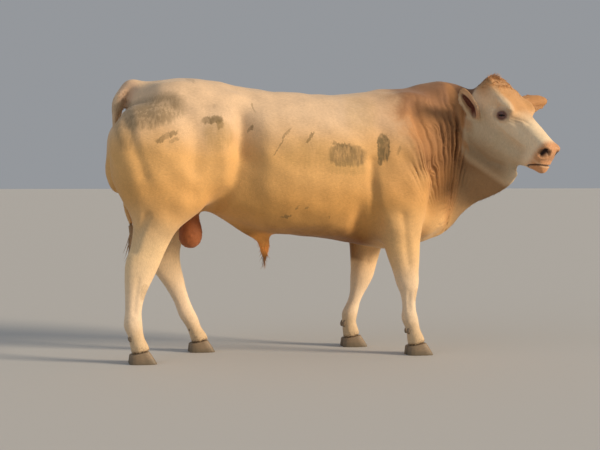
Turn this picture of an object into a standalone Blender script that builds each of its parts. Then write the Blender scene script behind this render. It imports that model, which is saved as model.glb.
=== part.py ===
# A standing Blonde d'Aquitaine bull, life size, as a still museum model.
# Metres, +Z up. The body points along +X, the head is turned to its right, towards -Y.
# Everything is first placed in the body's frame, with X = 0 midway between the legs and Z = 0 on the
# floor, and the whole is moved at the end so that its box is centred over the origin.
import math
import random

import bmesh
import bpy
import numpy as np
from mathutils import Matrix, Vector
from mathutils.bvhtree import BVHTree

GAP = 0.0003            # what touching nodes keep between them
WELD = 0.00002          # points nearer than this are one
CUT_PLATE = 0.0003      # thickness of the thin cuts that part the flesh
FINE_CELL = 0.0085      # cell of the remesh that melts the flesh into one surface
FLESH_TRIANGLES = 6200  # triangles of the whole flesh before it is parted
THIN_FACTOR = 0.006     # how strongly the head and the feet keep theirs

# The head's own frame: X runs down the face from the poll, Y to its left, Z out of the forehead.
POLL = Vector((1.285, -0.185, 1.570))
HEAD_TURN = math.radians(58)    # away from the body's line, to the right
HEAD_PITCH = math.radians(41)   # slope of the face line below level
HEAD = Matrix.Translation(POLL) @ Matrix.Rotation(-HEAD_TURN, 4, "Z") @ Matrix.Rotation(HEAD_PITCH, 4, "Y")

EYE_RADIUS = 0.0205
EYE_CENTRE = (0.246, 0.117, -0.062)     # left eye in the head's frame, mirrored for the right
CORONET_FRONT, CORONET_HEEL = 0.074, 0.048

# Trunk, at each X: top, bottom, half width, height of the widest level, roundness above and below.
TRUNK = [
    (-0.812, 1.430, 1.140, 0.060, 1.30, 2.0, 2.0),
    (-0.795, 1.470, 1.040, 0.130, 1.28, 2.1, 2.0),
    (-0.760, 1.505, 0.950, 0.200, 1.26, 2.2, 2.0),
    (-0.680, 1.545, 0.875, 0.270, 1.24, 2.4, 2.0),
    (-0.520, 1.568, 0.850, 0.315, 1.22, 2.5, 2.0),
    (-0.360, 1.558, 0.812, 0.325, 1.20, 2.6, 2.1),
    (-0.230, 1.532, 0.756, 0.322, 1.14, 2.5, 2.2),
    (-0.060, 1.512, 0.698, 0.345, 1.07, 2.4, 2.3),
    (0.150, 1.497, 0.676, 0.362, 1.04, 2.3, 2.3),
    (0.380, 1.495, 0.648, 0.352, 1.05, 2.2, 2.3),
    (0.560, 1.515, 0.610, 0.325, 1.06, 2.1, 2.2),
    (0.720, 1.532, 0.590, 0.290, 1.08, 2.1, 2.1),
    (0.880, 1.500, 0.635, 0.235, 1.08, 2.0, 2.0),
    (0.990, 1.380, 0.735, 0.150, 1.06, 2.0, 2.0),
]

# Neck, along its bent line: X, Y, heading, top, bottom, half width, widest level, roundness.
NECK = [
    (0.700, 0.000, 0, 1.528, 0.635, 0.270, 1.10, 2.0, 1.9),
    (0.880, 0.000, -3, 1.546, 0.618, 0.252, 1.13, 2.0, 1.8),
    (1.000, -0.010, -8, 1.590, 0.652, 0.228, 1.18, 1.9, 1.6),
    (1.080, -0.030, -16, 1.582, 0.690, 0.200, 1.22, 1.8, 1.4),
    (1.150, -0.062, -27, 1.552, 0.790, 0.172, 1.25, 1.8, 1.35),
    (1.215, -0.108, -38, 1.517, 0.850, 0.148, 1.27, 1.8, 1.3),
    (1.275, -0.170, -47, 1.470, 0.885, 0.122, 1.27, 1.9, 1.3),
    (1.330, -0.240, -54, 1.380, 0.925, 0.090, 1.22, 2.0, 1.3),
    (1.370, -0.305, -58, 1.260, 0.975, 0.055, 1.16, 2.0, 1.5),
]

# Legs, from the top down at each height: X, Y, half length fore and aft, half width.
FORE_RIGHT = [
    (1.400, 0.660, -0.140, 0.100, 0.075), (1.250, 0.680, -0.190, 0.165, 0.125),
    (1.100, 0.700, -0.212, 0.195, 0.142), (0.950, 0.710, -0.218, 0.190, 0.138),
    (0.820, 0.700, -0.222, 0.162, 0.118), (0.700, 0.705, -0.224, 0.130, 0.095),
    (0.620, 0.718, -0.222, 0.110, 0.080), (0.550, 0.730, -0.220, 0.097, 0.071),
    (0.470, 0.744, -0.218, 0.078, 0.063), (0.410, 0.753, -0.218, 0.071, 0.061),
    (0.350, 0.760, -0.218, 0.052, 0.049), (0.300, 0.762, -0.218, 0.043, 0.042),
    (0.250, 0.764, -0.218, 0.044, 0.043), (0.205, 0.768, -0.218, 0.054, 0.052),
    (0.150, 0.785, -0.218, 0.044, 0.046), (0.105, 0.802, -0.218, 0.051, 0.054),
    (0.050, 0.812, -0.218, 0.058, 0.058),
]
FORE_LEFT = [
    (1.400, 0.655, 0.140, 0.100, 0.075), (1.250, 0.665, 0.190, 0.165, 0.125),
    (1.100, 0.675, 0.212, 0.195, 0.142), (0.950, 0.672, 0.218, 0.190, 0.138),
    (0.820, 0.655, 0.222, 0.160, 0.118), (0.700, 0.645, 0.224, 0.128, 0.095),
    (0.620, 0.640, 0.222, 0.110, 0.080), (0.550, 0.633, 0.220, 0.095, 0.071),
    (0.470, 0.622, 0.218, 0.080, 0.063), (0.415, 0.613, 0.218, 0.074, 0.061),
    (0.360, 0.598, 0.218, 0.060, 0.050), (0.310, 0.581, 0.218, 0.047, 0.043),
    (0.255, 0.558, 0.218, 0.044, 0.043), (0.205, 0.540, 0.218, 0.054, 0.052),
    (0.150, 0.533, 0.218, 0.045, 0.046), (0.105, 0.543, 0.218, 0.051, 0.054),
    (0.050, 0.552, 0.218, 0.058, 0.058),
]
HIND_RIGHT = [
    (1.400, -0.640, -0.165, 0.190, 0.115), (1.280, -0.665, -0.195, 0.245, 0.145),
    (1.170, -0.680, -0.205, 0.262, 0.152), (1.030, -0.640, -0.208, 0.272, 0.150),
    (0.900, -0.628, -0.205, 0.250, 0.136), (0.840, -0.625, -0.202, 0.218, 0.124),
    (0.790, -0.645, -0.200, 0.175, 0.110), (0.735, -0.680, -0.200, 0.130, 0.090),
    (0.640, -0.712, -0.200, 0.110, 0.066), (0.575, -0.742, -0.200, 0.108, 0.056),
    (0.500, -0.762, -0.200, 0.094, 0.053), (0.430, -0.780, -0.200, 0.075, 0.050),
    (0.360, -0.795, -0.200, 0.059, 0.044), (0.280, -0.804, -0.200, 0.050, 0.041),
    (0.205, -0.805, -0.200, 0.057, 0.052), (0.150, -0.791, -0.200, 0.046, 0.047),
    (0.105, -0.774, -0.200, 0.053, 0.055), (0.050, -0.760, -0.200, 0.060, 0.058),
]
HIND_LEFT = [
    (1.400, -0.630, 0.165, 0.190, 0.115), (1.280, -0.650, 0.195, 0.245, 0.145),
    (1.170, -0.655, 0.205, 0.260, 0.152), (1.030, -0.608, 0.208, 0.272, 0.150),
    (0.900, -0.565, 0.205, 0.248, 0.136), (0.840, -0.550, 0.202, 0.214, 0.124),
    (0.790, -0.548, 0.200, 0.175, 0.110), (0.735, -0.556, 0.200, 0.135, 0.090),
    (0.640, -0.578, 0.200, 0.112, 0.066), (0.575, -0.592, 0.200, 0.110, 0.056),
    (0.500, -0.574, 0.200, 0.096, 0.053), (0.430, -0.540, 0.200, 0.078, 0.050),
    (0.360, -0.508, 0.200, 0.061, 0.044), (0.280, -0.473, 0.200, 0.053, 0.041),
    (0.205, -0.441, 0.200, 0.058, 0.052), (0.150, -0.414, 0.200, 0.047, 0.047),
    (0.105, -0.388, 0.200, 0.053, 0.055), (0.050, -0.368, 0.200, 0.060, 0.058),
]

# Muscles and bony points of one side: centre, half sizes, turn about Y in degrees. Y is mirrored.
MUSCLES = [
    ((0.600, 0.290, 0.960), (0.130, 0.070, 0.150), 20),     # triceps
    ((0.815, 0.215, 1.000), (0.085, 0.080, 0.120), -15),    # point of the shoulder
    ((0.900, 0.095, 0.790), (0.120, 0.085, 0.130), 0),      # breast
    ((-0.290, 0.225, 1.418), (0.105, 0.066, 0.062), 0),     # hip bone
    ((-0.500, 0.165, 1.420), (0.240, 0.145, 0.125), 8),     # rump
    ((-0.040, 0.100, 1.430), (0.340, 0.095, 0.068), 0),     # loin
    ((-0.640, 0.255, 1.160), (0.190, 0.110, 0.250), 0),     # outer thigh
    ((-0.826, 0.175, 1.130), (0.096, 0.100, 0.230), 8),     # back of the thigh
    ((-0.460, 0.235, 1.060), (0.110, 0.095, 0.180), -25),   # front of the thigh
    ((0.780, 0.110, 1.400), (0.220, 0.110, 0.120), 0),      # shoulder blade's top
]

# Upper head, down the face: X, top, bottom, half width, widest level, roundness above and below.
FACE = [
    (-0.045, -0.040, -0.170, 0.070, -0.11, 2.2, 2.0),
    (0.000, 0.010, -0.230, 0.118, -0.10, 2.3, 2.0),
    (0.060, 0.028, -0.270, 0.134, -0.09, 2.5, 2.0),
    (0.130, 0.032, -0.290, 0.134, -0.08, 2.6, 2.0),
    (0.200, 0.024, -0.290, 0.132, -0.07, 2.7, 2.0),
    (0.260, 0.010, -0.270, 0.122, -0.08, 2.6, 2.0),
    (0.320, 0.006, -0.240, 0.101, -0.08, 2.4, 2.0),
    (0.380, 0.006, -0.205, 0.086, -0.08, 2.3, 2.0),
    (0.440, 0.003, -0.178, 0.076, -0.07, 2.2, 2.1),
    (0.490, -0.003, -0.156, 0.073, -0.07, 2.2, 2.2),
    (0.535, -0.009, -0.140, 0.077, -0.06, 2.3, 2.3),
    (0.566, -0.021, -0.130, 0.076, -0.06, 2.4, 2.3),
    (0.583, -0.042, -0.116, 0.060, -0.07, 2.3, 2.2),
]
JAW = [
    (0.140, -0.220, -0.305, 0.075, -0.27, 2.0, 2.0),
    (0.200, -0.170, -0.345, 0.100, -0.26, 2.0, 2.0),
    (0.260, -0.150, -0.352, 0.103, -0.25, 2.0, 2.0),
    (0.330, -0.130, -0.322, 0.092, -0.22, 2.0, 2.0),
    (0.400, -0.125, -0.284, 0.076, -0.19, 2.0, 2.1),
    (0.470, -0.120, -0.244, 0.063, -0.17, 2.0, 2.2),
    (0.530, -0.118, -0.214, 0.056, -0.155, 2.0, 2.3),
    (0.580, -0.118, -0.200, 0.052, -0.152, 2.0, 2.3),
    (0.615, -0.126, -0.176, 0.036, -0.148, 2.0, 2.0),
]
# Forms of the head on one side, in its own frame: centre, half sizes, turn about Y in degrees.
HEAD_FORMS = [
    ((0.225, 0.082, -0.225), (0.110, 0.042, 0.110), 20),    # cheek muscle
    ((0.110, 0.082, -0.012), (0.090, 0.050, 0.042), 0),     # side of the forehead
    ((0.215, 0.108, -0.006), (0.080, 0.042, 0.038), -2),    # brow
    ((0.250, 0.102, -0.060), (0.050, 0.032, 0.042), 0),     # rim of the eye socket
    ((0.345, 0.072, -0.108), (0.100, 0.020, 0.024), 12),    # ridge below the eye
    ((0.556, 0.048, -0.046), (0.042, 0.034, 0.038), 0),     # wing of the nostril
    ((0.548, 0.046, -0.112), (0.050, 0.034, 0.030), 22),    # upper lip
    ((0.475, 0.050, -0.150), (0.075, 0.028, 0.050), 26),    # corner of the mouth
    ((0.022, 0.108, -0.055), (0.034, 0.028, 0.030), 0),     # stump of the horn
    ((0.086, 0.118, -0.146), (0.042, 0.034, 0.046), 0),     # root of the ear
]
HEAD_MIDDLE = [
    ((0.006, 0.0, 0.002), (0.044, 0.090, 0.038), 0),        # poll
    ((0.566, 0.0, -0.080), (0.031, 0.072, 0.056), 0),       # pad of the muzzle
    ((0.590, 0.0, -0.170), (0.034, 0.046, 0.030), 0),       # chin
    ((0.150, 0.0, -0.290), (0.130, 0.080, 0.085), 30),      # throat
    ((0.300, 0.0, -0.330), (0.210, 0.030, 0.060), -8),      # fold under the jaw
]

# The cut between head and neck stands upright behind the poll, the ears and the jaw.
HEAD_CUT = Vector((1.122, -0.176, 0.0))
HEAD_CUT_TURN = math.radians(40)
# Middles of the knees and hocks, where the legs part, and how far those cuts reach.
KNEES_AND_HOCKS = (
    (0.752, -0.218, 0.405), (0.610, 0.218, 0.408), (-0.755, -0.200, 0.560), (-0.585, 0.200, 0.560),
)
LEG_CUT_LENGTH, LEG_CUT_WIDTH = 0.17, 0.12
SMALLEST_FLESH = 1e-5   # cubic metres; shells below this are chips of a cut

# Where each piece of flesh lies, by which it gets its name.
FLESH = {
    "torso": (0.00, 0.00, 1.10),
    "neck": (1.08, -0.03, 1.20),
    "head": HEAD @ Vector((0.28, 0.0, -0.15)),
    "foreleg_upper_right": (0.70, -0.23, 0.62),
    "foreleg_upper_left": (0.64, 0.23, 0.62),
    "foreleg_lower_right": (0.77, -0.22, 0.25),
    "foreleg_lower_left": (0.57, 0.22, 0.25),
    "hindleg_upper_right": (-0.69, -0.20, 0.70),
    "hindleg_upper_left": (-0.57, 0.20, 0.70),
    "hindleg_lower_right": (-0.79, -0.20, 0.32),
    "hindleg_lower_left": (-0.48, 0.20, 0.32),
}

# Feet: name, X and Y of the middle of the coronet.
FEET = {
    "fore_right": (0.803, -0.218),
    "fore_left": (0.545, 0.218),
    "hind_right": (-0.772, -0.200),
    "hind_left": (-0.384, 0.200),
}
CLAW_FRONT, CLAW_BACK = 0.094, 0.060    # reach of the sole ahead of and behind the coronet's middle
CORONET_REACH = 0.058
CLAW_WIDTH = 0.058
DEWCLAW_BEHIND, DEWCLAW_ASIDE, DEWCLAW_HEIGHT = 0.050, 0.024, 0.140
DEWCLAW_SIZE, DEWCLAW_TILT = (0.017, 0.013, 0.025), math.radians(22)

# Tail, from its root to the start of the switch: X, Z, half width, half depth.
TAIL = [
    (-0.700, 1.505, 0.040, 0.034), (-0.755, 1.520, 0.048, 0.036), (-0.800, 1.514, 0.044, 0.036),
    (-0.835, 1.480, 0.040, 0.037), (-0.858, 1.425, 0.036, 0.035), (-0.868, 1.360, 0.032, 0.031),
    (-0.869, 1.250, 0.028, 0.027), (-0.860, 1.100, 0.024, 0.024), (-0.838, 0.950, 0.021, 0.021),
    (-0.812, 0.820, 0.017, 0.017), (-0.792, 0.740, 0.016, 0.016),
]
SWITCH = [
    (-0.792, 0.740, 0.016), (-0.782, 0.690, 0.024), (-0.774, 0.620, 0.036), (-0.768, 0.540, 0.040),
    (-0.764, 0.460, 0.034), (-0.762, 0.400, 0.020), (-0.762, 0.375, 0.008),
]
PREPUCE = [(-0.042, 0.700, 0.034), (-0.038, 0.655, 0.036), (-0.034, 0.620, 0.033), (-0.032, 0.590, 0.027),
           (-0.032, 0.562, 0.020), (-0.033, 0.550, 0.012)]
SCROTUM = [(0.890, 0.050, 0.050), (0.840, 0.050, 0.050), (0.800, 0.048, 0.050), (0.755, 0.060, 0.062),
           (0.700, 0.070, 0.074), (0.655, 0.066, 0.068), (0.622, 0.046, 0.046), (0.608, 0.020, 0.020)]
SCROTUM_X = -0.460

# Ears, in the head's frame: root, tip and the way the cup faces.
EARS = {
    "ear_right": ((0.135, -0.114, -0.198), (0.045, -0.303, -0.040), (0.500, -0.540, -0.700)),
    "ear_left": ((0.092, 0.106, -0.128), (0.150, 0.388, 0.002), (-0.450, 0.500, -0.720)),
}
# Along the ear: share of its length, half width, depth of its back, how far it is hollowed.
EAR_SECTIONS = [
    (0.00, 0.030, 0.032, 0.0), (0.14, 0.037, 0.040, 0.0), (0.24, 0.046, 0.047, 0.55),
    (0.38, 0.056, 0.049, 1.0), (0.54, 0.062, 0.045, 1.0), (0.70, 0.060, 0.036, 1.0),
    (0.84, 0.049, 0.026, 1.0), (0.94, 0.033, 0.015, 0.8), (1.00, 0.014, 0.007, 0.0),
]
EAR_WALL = 0.008

COLOURS = {
    "coat": (0.70, 0.49, 0.29), "neck": (0.52, 0.30, 0.14), "leg": (0.78, 0.62, 0.43),
    "horn": (0.36, 0.27, 0.18), "eye": (0.02, 0.012, 0.01), "bare": (0.62, 0.33, 0.20),
    "hair": (0.42, 0.24, 0.11),
}


def clear():
    for old in list(bpy.data.objects):
        bpy.data.objects.remove(old, do_unlink=True)


def collection(name):
    made = bpy.data.collections.new(name)
    bpy.context.scene.collection.children.link(made)
    return made


def to_object(name, bm, group):
    mesh = bpy.data.meshes.new(name)
    bm.to_mesh(mesh)
    bm.free()
    made = bpy.data.objects.new(name, mesh)
    group.objects.link(made)
    return made


# Rows of numbers between the given ones, on a curve through them all.
def rows_between(rows, steps):
    rows = np.array(rows, float)
    before = np.vstack([2 * rows[0] - rows[1], rows, 2 * rows[-1] - rows[-2]])
    out = []
    for i in range(1, len(before) - 2):
        a, b, c, d = before[i - 1:i + 3]
        for t in np.arange(steps) / steps:
            out.append(0.5 * (2 * b + (c - a) * t + (2 * a - 5 * b + 4 * c - d) * t * t
                              + (3 * b - a - 3 * c + d) * t ** 3))
    return out + [rows[-1]]


# Points round an oval whose upper and lower halves differ in height and roundness.
def oval(half_width, up, down, power_up=2.0, power_down=2.0, count=28):
    points = []
    for k in range(count):
        turn = 2 * math.pi * k / count
        c, s = math.cos(turn), math.sin(turn)
        power = power_up if s >= 0 else power_down
        height = up if s >= 0 else down
        points.append((half_width * math.copysign(abs(c) ** (2 / power), c),
                       height * math.copysign(abs(s) ** (2 / power), s)))
    return points


# A closed body through a row of rings, each a list of the same number of points.
def loft(rings, group, name="loft"):
    bm = bmesh.new()
    loops = [[bm.verts.new(p) for p in ring] for ring in rings]
    for one, two in zip(loops, loops[1:]):
        for k in range(len(one)):
            n = (k + 1) % len(one)
            bm.faces.new((one[k], one[n], two[n], two[k]))
    bm.faces.new(list(reversed(loops[0])))
    bm.faces.new(loops[-1])
    bmesh.ops.recalc_face_normals(bm, faces=bm.faces)
    return to_object(name, bm, group)


def ellipsoid(centre, half_sizes, group, matrix=Matrix(), turn=0.0, level=3):
    bm = bmesh.new()
    bmesh.ops.create_icosphere(bm, subdivisions=level, radius=1.0)
    place = (matrix @ Matrix.Translation(centre) @ Matrix.Rotation(math.radians(turn), 4, "Y")
             @ Matrix.Diagonal((*half_sizes, 1.0)))
    bm.transform(place)
    return to_object("form", bm, group)


def mirrored(centre):
    return (centre[0], -centre[1], centre[2])


# Sections that stand across X, as on the trunk, the face and the jaw.
def across_x(stations, group, matrix=Matrix(), steps=3):
    rings = []
    for x, top, bottom, half, level, power_up, power_down in rows_between(stations, steps):
        ring = oval(half, top - level, level - bottom, power_up, power_down)
        rings.append([matrix @ Vector((x, a, level + b)) for a, b in ring])
    return loft(rings, group)


def neck(group):
    rings = []
    for x, y, heading, top, bottom, half, level, power_up, power_down in rows_between(NECK, 3):
        side = Vector((-math.sin(math.radians(heading)), math.cos(math.radians(heading)), 0))
        ring = oval(half, top - level, level - bottom, power_up, power_down)
        rings.append([Vector((x, y, level + b)) + side * a for a, b in ring])
    return loft(rings, group)


def leg(stations, group):
    rings = []
    for z, x, y, length, width in rows_between(stations, 3):
        rings.append([Vector((x + a, y + b, z)) for a, b in oval(length, width, width, 2.2, 2.2, 24)])
    return loft(rings, group)


# The fold of the belly that carries the sheath.
def belly_fold(group):
    fold = [(-0.330, 0.835, 0.026, 0.040), (-0.230, 0.775, 0.034, 0.050), (-0.130, 0.715, 0.038, 0.055),
            (-0.060, 0.682, 0.038, 0.050), (-0.020, 0.676, 0.028, 0.040)]
    rings = []
    for x, z, half, tall in rows_between(fold, 2):
        rings.append([Vector((x, a, z + b)) for a, b in oval(half, tall, tall, count=16)])
    loft(rings, group)


def flesh_forms(group):
    across_x(TRUNK, group)
    neck(group)
    for stations in (FORE_RIGHT, FORE_LEFT, HIND_RIGHT, HIND_LEFT):
        leg(stations, group)
    for centre, half_sizes, turn in MUSCLES:
        ellipsoid(centre, half_sizes, group, turn=turn)
        ellipsoid(mirrored(centre), half_sizes, group, turn=turn)
    ellipsoid((-0.725, 0.0, 1.510), (0.105, 0.062, 0.048), group, turn=4)   # root of the tail
    ellipsoid((0.960, -0.008, 1.480), (0.200, 0.090, 0.098), group)        # crest of the neck
    belly_fold(group)
    across_x(FACE, group, HEAD)
    across_x(JAW, group, HEAD)
    for centre, half_sizes, turn in HEAD_FORMS:
        ellipsoid(centre, half_sizes, group, HEAD, turn)
        ellipsoid(mirrored(centre), half_sizes, group, HEAD, turn)
    for centre, half_sizes, turn in HEAD_MIDDLE:
        ellipsoid(centre, half_sizes, group, HEAD, turn)


# One mesh from every object of a group, which are then removed.
def gathered(name, group, target):
    bm = bmesh.new()
    for piece in list(group.objects):
        part = piece.data.copy()
        part.transform(piece.matrix_world)
        bm.from_mesh(part)
        bpy.data.meshes.remove(part)
        bpy.data.objects.remove(piece, do_unlink=True)
    return to_object(name, bm, target)


def apply_modifiers(obj):
    graph = bpy.context.evaluated_depsgraph_get()
    mesh = bpy.data.meshes.new_from_object(obj.evaluated_get(graph))
    obj.modifiers.clear()
    obj.data = mesh
    return obj


def points_of(mesh):
    flat = np.empty(len(mesh.vertices) * 3, np.float32)
    mesh.vertices.foreach_get("co", flat)
    return flat.reshape(-1, 3).astype(float)


def set_points(mesh, points):
    mesh.vertices.foreach_set("co", points.astype(np.float32).ravel())
    mesh.update()


# How far each point is inside the head, from 0 on the neck to 1 on the face.
def head_share(points):
    inside = np.array(HEAD.inverted())
    local = points @ inside[:3, :3].T + inside[:3, 3]
    return np.clip((local[:, 0] + 0.02) / 0.10, 0, 1) * (points[:, 0] > 1.15)


# Draws each point towards the middle of its neighbours, as far as its share says.
def relax(mesh, share, repeats):
    ends = np.empty(len(mesh.edges) * 2, np.int64)
    mesh.edges.foreach_get("vertices", ends)
    one, two = ends.reshape(-1, 2).T
    points = points_of(mesh)
    count = len(points)
    near = np.bincount(one, minlength=count) + np.bincount(two, minlength=count)
    for _ in range(repeats):
        total = np.stack([np.bincount(one, points[two, k], count) + np.bincount(two, points[one, k], count)
                          for k in range(3)], axis=1)
        points += share[:, None] * (total / near[:, None] - points)
    set_points(mesh, points)


def melted_flesh(parts):
    forms = collection("forms")
    flesh_forms(forms)
    flesh = gathered("flesh", forms, parts)
    remesh = flesh.modifiers.new("melt", "REMESH")
    remesh.mode = "VOXEL"
    remesh.voxel_size = FINE_CELL
    apply_modifiers(flesh)
    points = points_of(flesh.data)
    head = head_share(points)
    low = np.clip((0.75 - points[:, 2]) / 0.20, 0, 1)
    share = 0.62 * (1 - 0.55 * head) * (1 - 0.72 * low)
    relax(flesh.data, share, 34)
    return flesh


# Fewer faces where the form is broad, and few taken from the head and the feet.
def thinned(flesh):
    points = points_of(flesh.data)
    keep = np.maximum(0.78 * head_share(points), 0.55 * np.clip((0.62 - points[:, 2]) / 0.10, 0, 1))
    group = flesh.vertex_groups.new(name="thin")
    for i, share in enumerate(keep):
        group.add([i], 1.0 - float(share), "REPLACE")
    decimate = flesh.modifiers.new("thin", "DECIMATE")
    decimate.ratio = FLESH_TRIANGLES / (2 * len(flesh.data.polygons))
    decimate.vertex_group = "thin"
    decimate.vertex_group_factor = THIN_FACTOR
    apply_modifiers(flesh)
    flesh.vertex_groups.clear()


def box(size, matrix, group):
    bm = bmesh.new()
    bmesh.ops.create_cube(bm, size=1.0)
    bm.transform(matrix @ Matrix.Diagonal((*size, 1.0)))
    return to_object("cutter", bm, group)


# A thin upright or slanted sheet from one point to another, spread along a third way.
def plate(start, end, spread, low, high, group):
    start, end, spread = Vector(start), Vector(end), Vector(spread).normalized()
    along = (end - start).normalized()
    turn = Matrix((along, spread, along.cross(spread))).transposed().to_4x4()
    centre = (start + end) / 2 + spread * (low + high) / 2
    return box(((end - start).length, high - low, CUT_PLATE), Matrix.Translation(centre) @ turn, group)


def boolean(obj, operation, group):
    for tool in group.objects:
        tool.hide_render = True
        tool.display_type = "WIRE"
    cut = obj.modifiers.new("cut", "BOOLEAN")
    cut.operation = operation
    cut.operand_type = "COLLECTION"
    cut.collection = group
    cut.solver = "EXACT"
    apply_modifiers(obj)
    for tool in list(group.objects):
        bpy.data.objects.remove(tool, do_unlink=True)
    bm = bmesh.new()
    bm.from_mesh(obj.data)
    bmesh.ops.remove_doubles(bm, verts=bm.verts, dist=WELD)
    bm.verts.index_update()
    bmesh.ops.triangulate(bm, faces=bm.faces)
    folded = {}
    for face in bm.faces:
        folded.setdefault(frozenset(v.index for v in face.verts), []).append(face)
    flaps = [face for faces in folded.values() if len(faces) > 1 for face in faces]
    bmesh.ops.delete(bm, geom=flaps, context="FACES")
    bm.to_mesh(obj.data)
    bm.free()


# The separate closed surfaces of a mesh, largest first.
def shells(obj):
    bm = bmesh.new()
    bm.from_mesh(obj.data)
    seen, found = set(), []
    for face in bm.faces:
        if face in seen:
            continue
        stack, shell = [face], []
        seen.add(face)
        while stack:
            one = stack.pop()
            shell.append(one)
            for edge in one.edges:
                for other in edge.link_faces:
                    if other not in seen:
                        seen.add(other)
                        stack.append(other)
        copy = bmesh.new()
        made = {}
        volume, middle = 0.0, Vector()
        for one in shell:
            corners = [v.co for v in one.verts]
            for v in one.verts:
                if v not in made:
                    made[v] = copy.verts.new(v.co)
            copy.faces.new([made[v] for v in one.verts])
            piece = corners[0].dot(corners[1].cross(corners[2])) / 6
            volume += piece
            middle += piece * sum(corners, Vector()) / 4
        found.append((volume, middle / volume if volume else middle, copy))
    bm.free()
    return sorted(found, key=lambda shell: -shell[0])


def keep_largest(obj):
    found = shells(obj)
    found[0][2].to_mesh(obj.data)
    for _, _, bm in found:
        bm.free()


def part_flesh(flesh, parts, cutters):
    up = Vector((0, 0, 1))
    turn = Vector((math.cos(HEAD_CUT_TURN), math.sin(HEAD_CUT_TURN), 0))
    plate(HEAD_CUT + 0.70 * up, HEAD_CUT + 1.75 * up, turn, -0.22, 0.36, cutters)
    plate((0.845, 0, 1.70), (1.025, 0, 0.48), (0, 1, 0), -0.50, 0.50, cutters)
    for side in (-1, 1):
        plate((0, side * 0.05, 0.530), (0, side * 0.46, 0.940), (1, 0, 0), 0.495, 0.935, cutters)
    plate((-1.00, 0, 0.886), (-0.370, 0, 0.792), (0, 1, 0), -0.46, -0.045, cutters)
    plate((-0.95, 0, 0.8885), (-0.315, 0, 0.793), (0, 1, 0), 0.045, 0.46, cutters)
    for x, y, z in KNEES_AND_HOCKS:
        start, end = (x - LEG_CUT_LENGTH, y, z), (x + LEG_CUT_LENGTH, y, z)
        plate(start, end, (0, 1, 0), -LEG_CUT_WIDTH, LEG_CUT_WIDTH, cutters)
    slope = math.atan((CORONET_FRONT - CORONET_HEEL) / (2 * CORONET_REACH))
    for x, y in FEET.values():
        middle = Vector((x, y, (CORONET_FRONT + CORONET_HEEL) / 2 + GAP))
        tilted = Matrix.Rotation(-slope, 4, "Y") @ Matrix.Translation((0, 0, -0.1))
        place = Matrix.Translation(middle) @ tilted
        box((0.4, 0.3, 0.2), place, cutters)
    boolean(flesh, "DIFFERENCE", cutters)
    pieces = {}
    for volume, middle, bm in shells(flesh):
        if volume < SMALLEST_FLESH:
            bm.free()
            continue
        name = min(FLESH, key=lambda n: (Vector(FLESH[n]) - middle).length)
        if name in pieces:
            raise RuntimeError(f"two pieces of flesh at {name}: {tuple(middle)}")
        pieces[name] = to_object(name, bm, parts)
    bpy.data.objects.remove(flesh, do_unlink=True)
    missing = set(FLESH) - set(pieces)
    if missing:
        raise RuntimeError(f"not parted: {missing}")
    return pieces


# Takes away from a piece what its neighbours fill, and a thin gap round them.
def fit_to(piece, neighbours, cutters):
    for neighbour in neighbours:
        bm = bmesh.new()
        bm.from_mesh(neighbour.data)
        bm.normal_update()
        for v, normal in [(v, v.normal.copy()) for v in bm.verts]:
            v.co += 1.5 * GAP * normal
        to_object("cutter", bm, cutters)
    boolean(piece, "DIFFERENCE", cutters)
    keep_largest(piece)


def upright_tube(rows, group, name, count=16):
    rings = []
    for x, z, half_width, half_depth in rows:
        ring = oval(half_depth, half_width, half_width, count=count)
        rings.append([Vector((x + a, b, z)) for a, b in ring])
    return loft(rings, group, name)


# A body along a path in the X-Z plane, with its rings square to the path.
def path_tube(rows, group, name, count=12):
    rings = []
    for i, (x, z, half_width, half_depth) in enumerate(rows):
        before, after = rows[max(i - 1, 0)], rows[min(i + 1, len(rows) - 1)]
        along = Vector((after[0] - before[0], 0, after[1] - before[1])).normalized()
        across = Vector((along.z, 0, -along.x))
        ring = oval(half_width, half_depth, half_depth, count=count)
        rings.append([Vector((x, a, z)) + across * b for a, b in ring])
    return loft(rings, group, name)


# A flat lock of hair that tapers to its tip and bends along its way.
def lock(root, way, bend, face, length, width, group):
    way, face = Vector(way).normalized(), Vector(face)
    rings = []
    for share, spread in ((0.0, 0.8), (0.3, 1.0), (0.6, 0.8), (0.85, 0.42), (1.0, 0.07)):
        middle = Vector(root) + way * length * share + Vector(bend) * length * share * share
        along = (way + 2 * Vector(bend) * share).normalized()
        side = along.cross(face).normalized()
        out = side.cross(along)
        half, thick = 0.5 * width * spread, 0.16 * width * (0.35 + spread)
        rings.append([middle + side * half, middle + out * thick, middle - side * half, middle - out * thick])
    return loft(rings, group, "lock")


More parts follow.
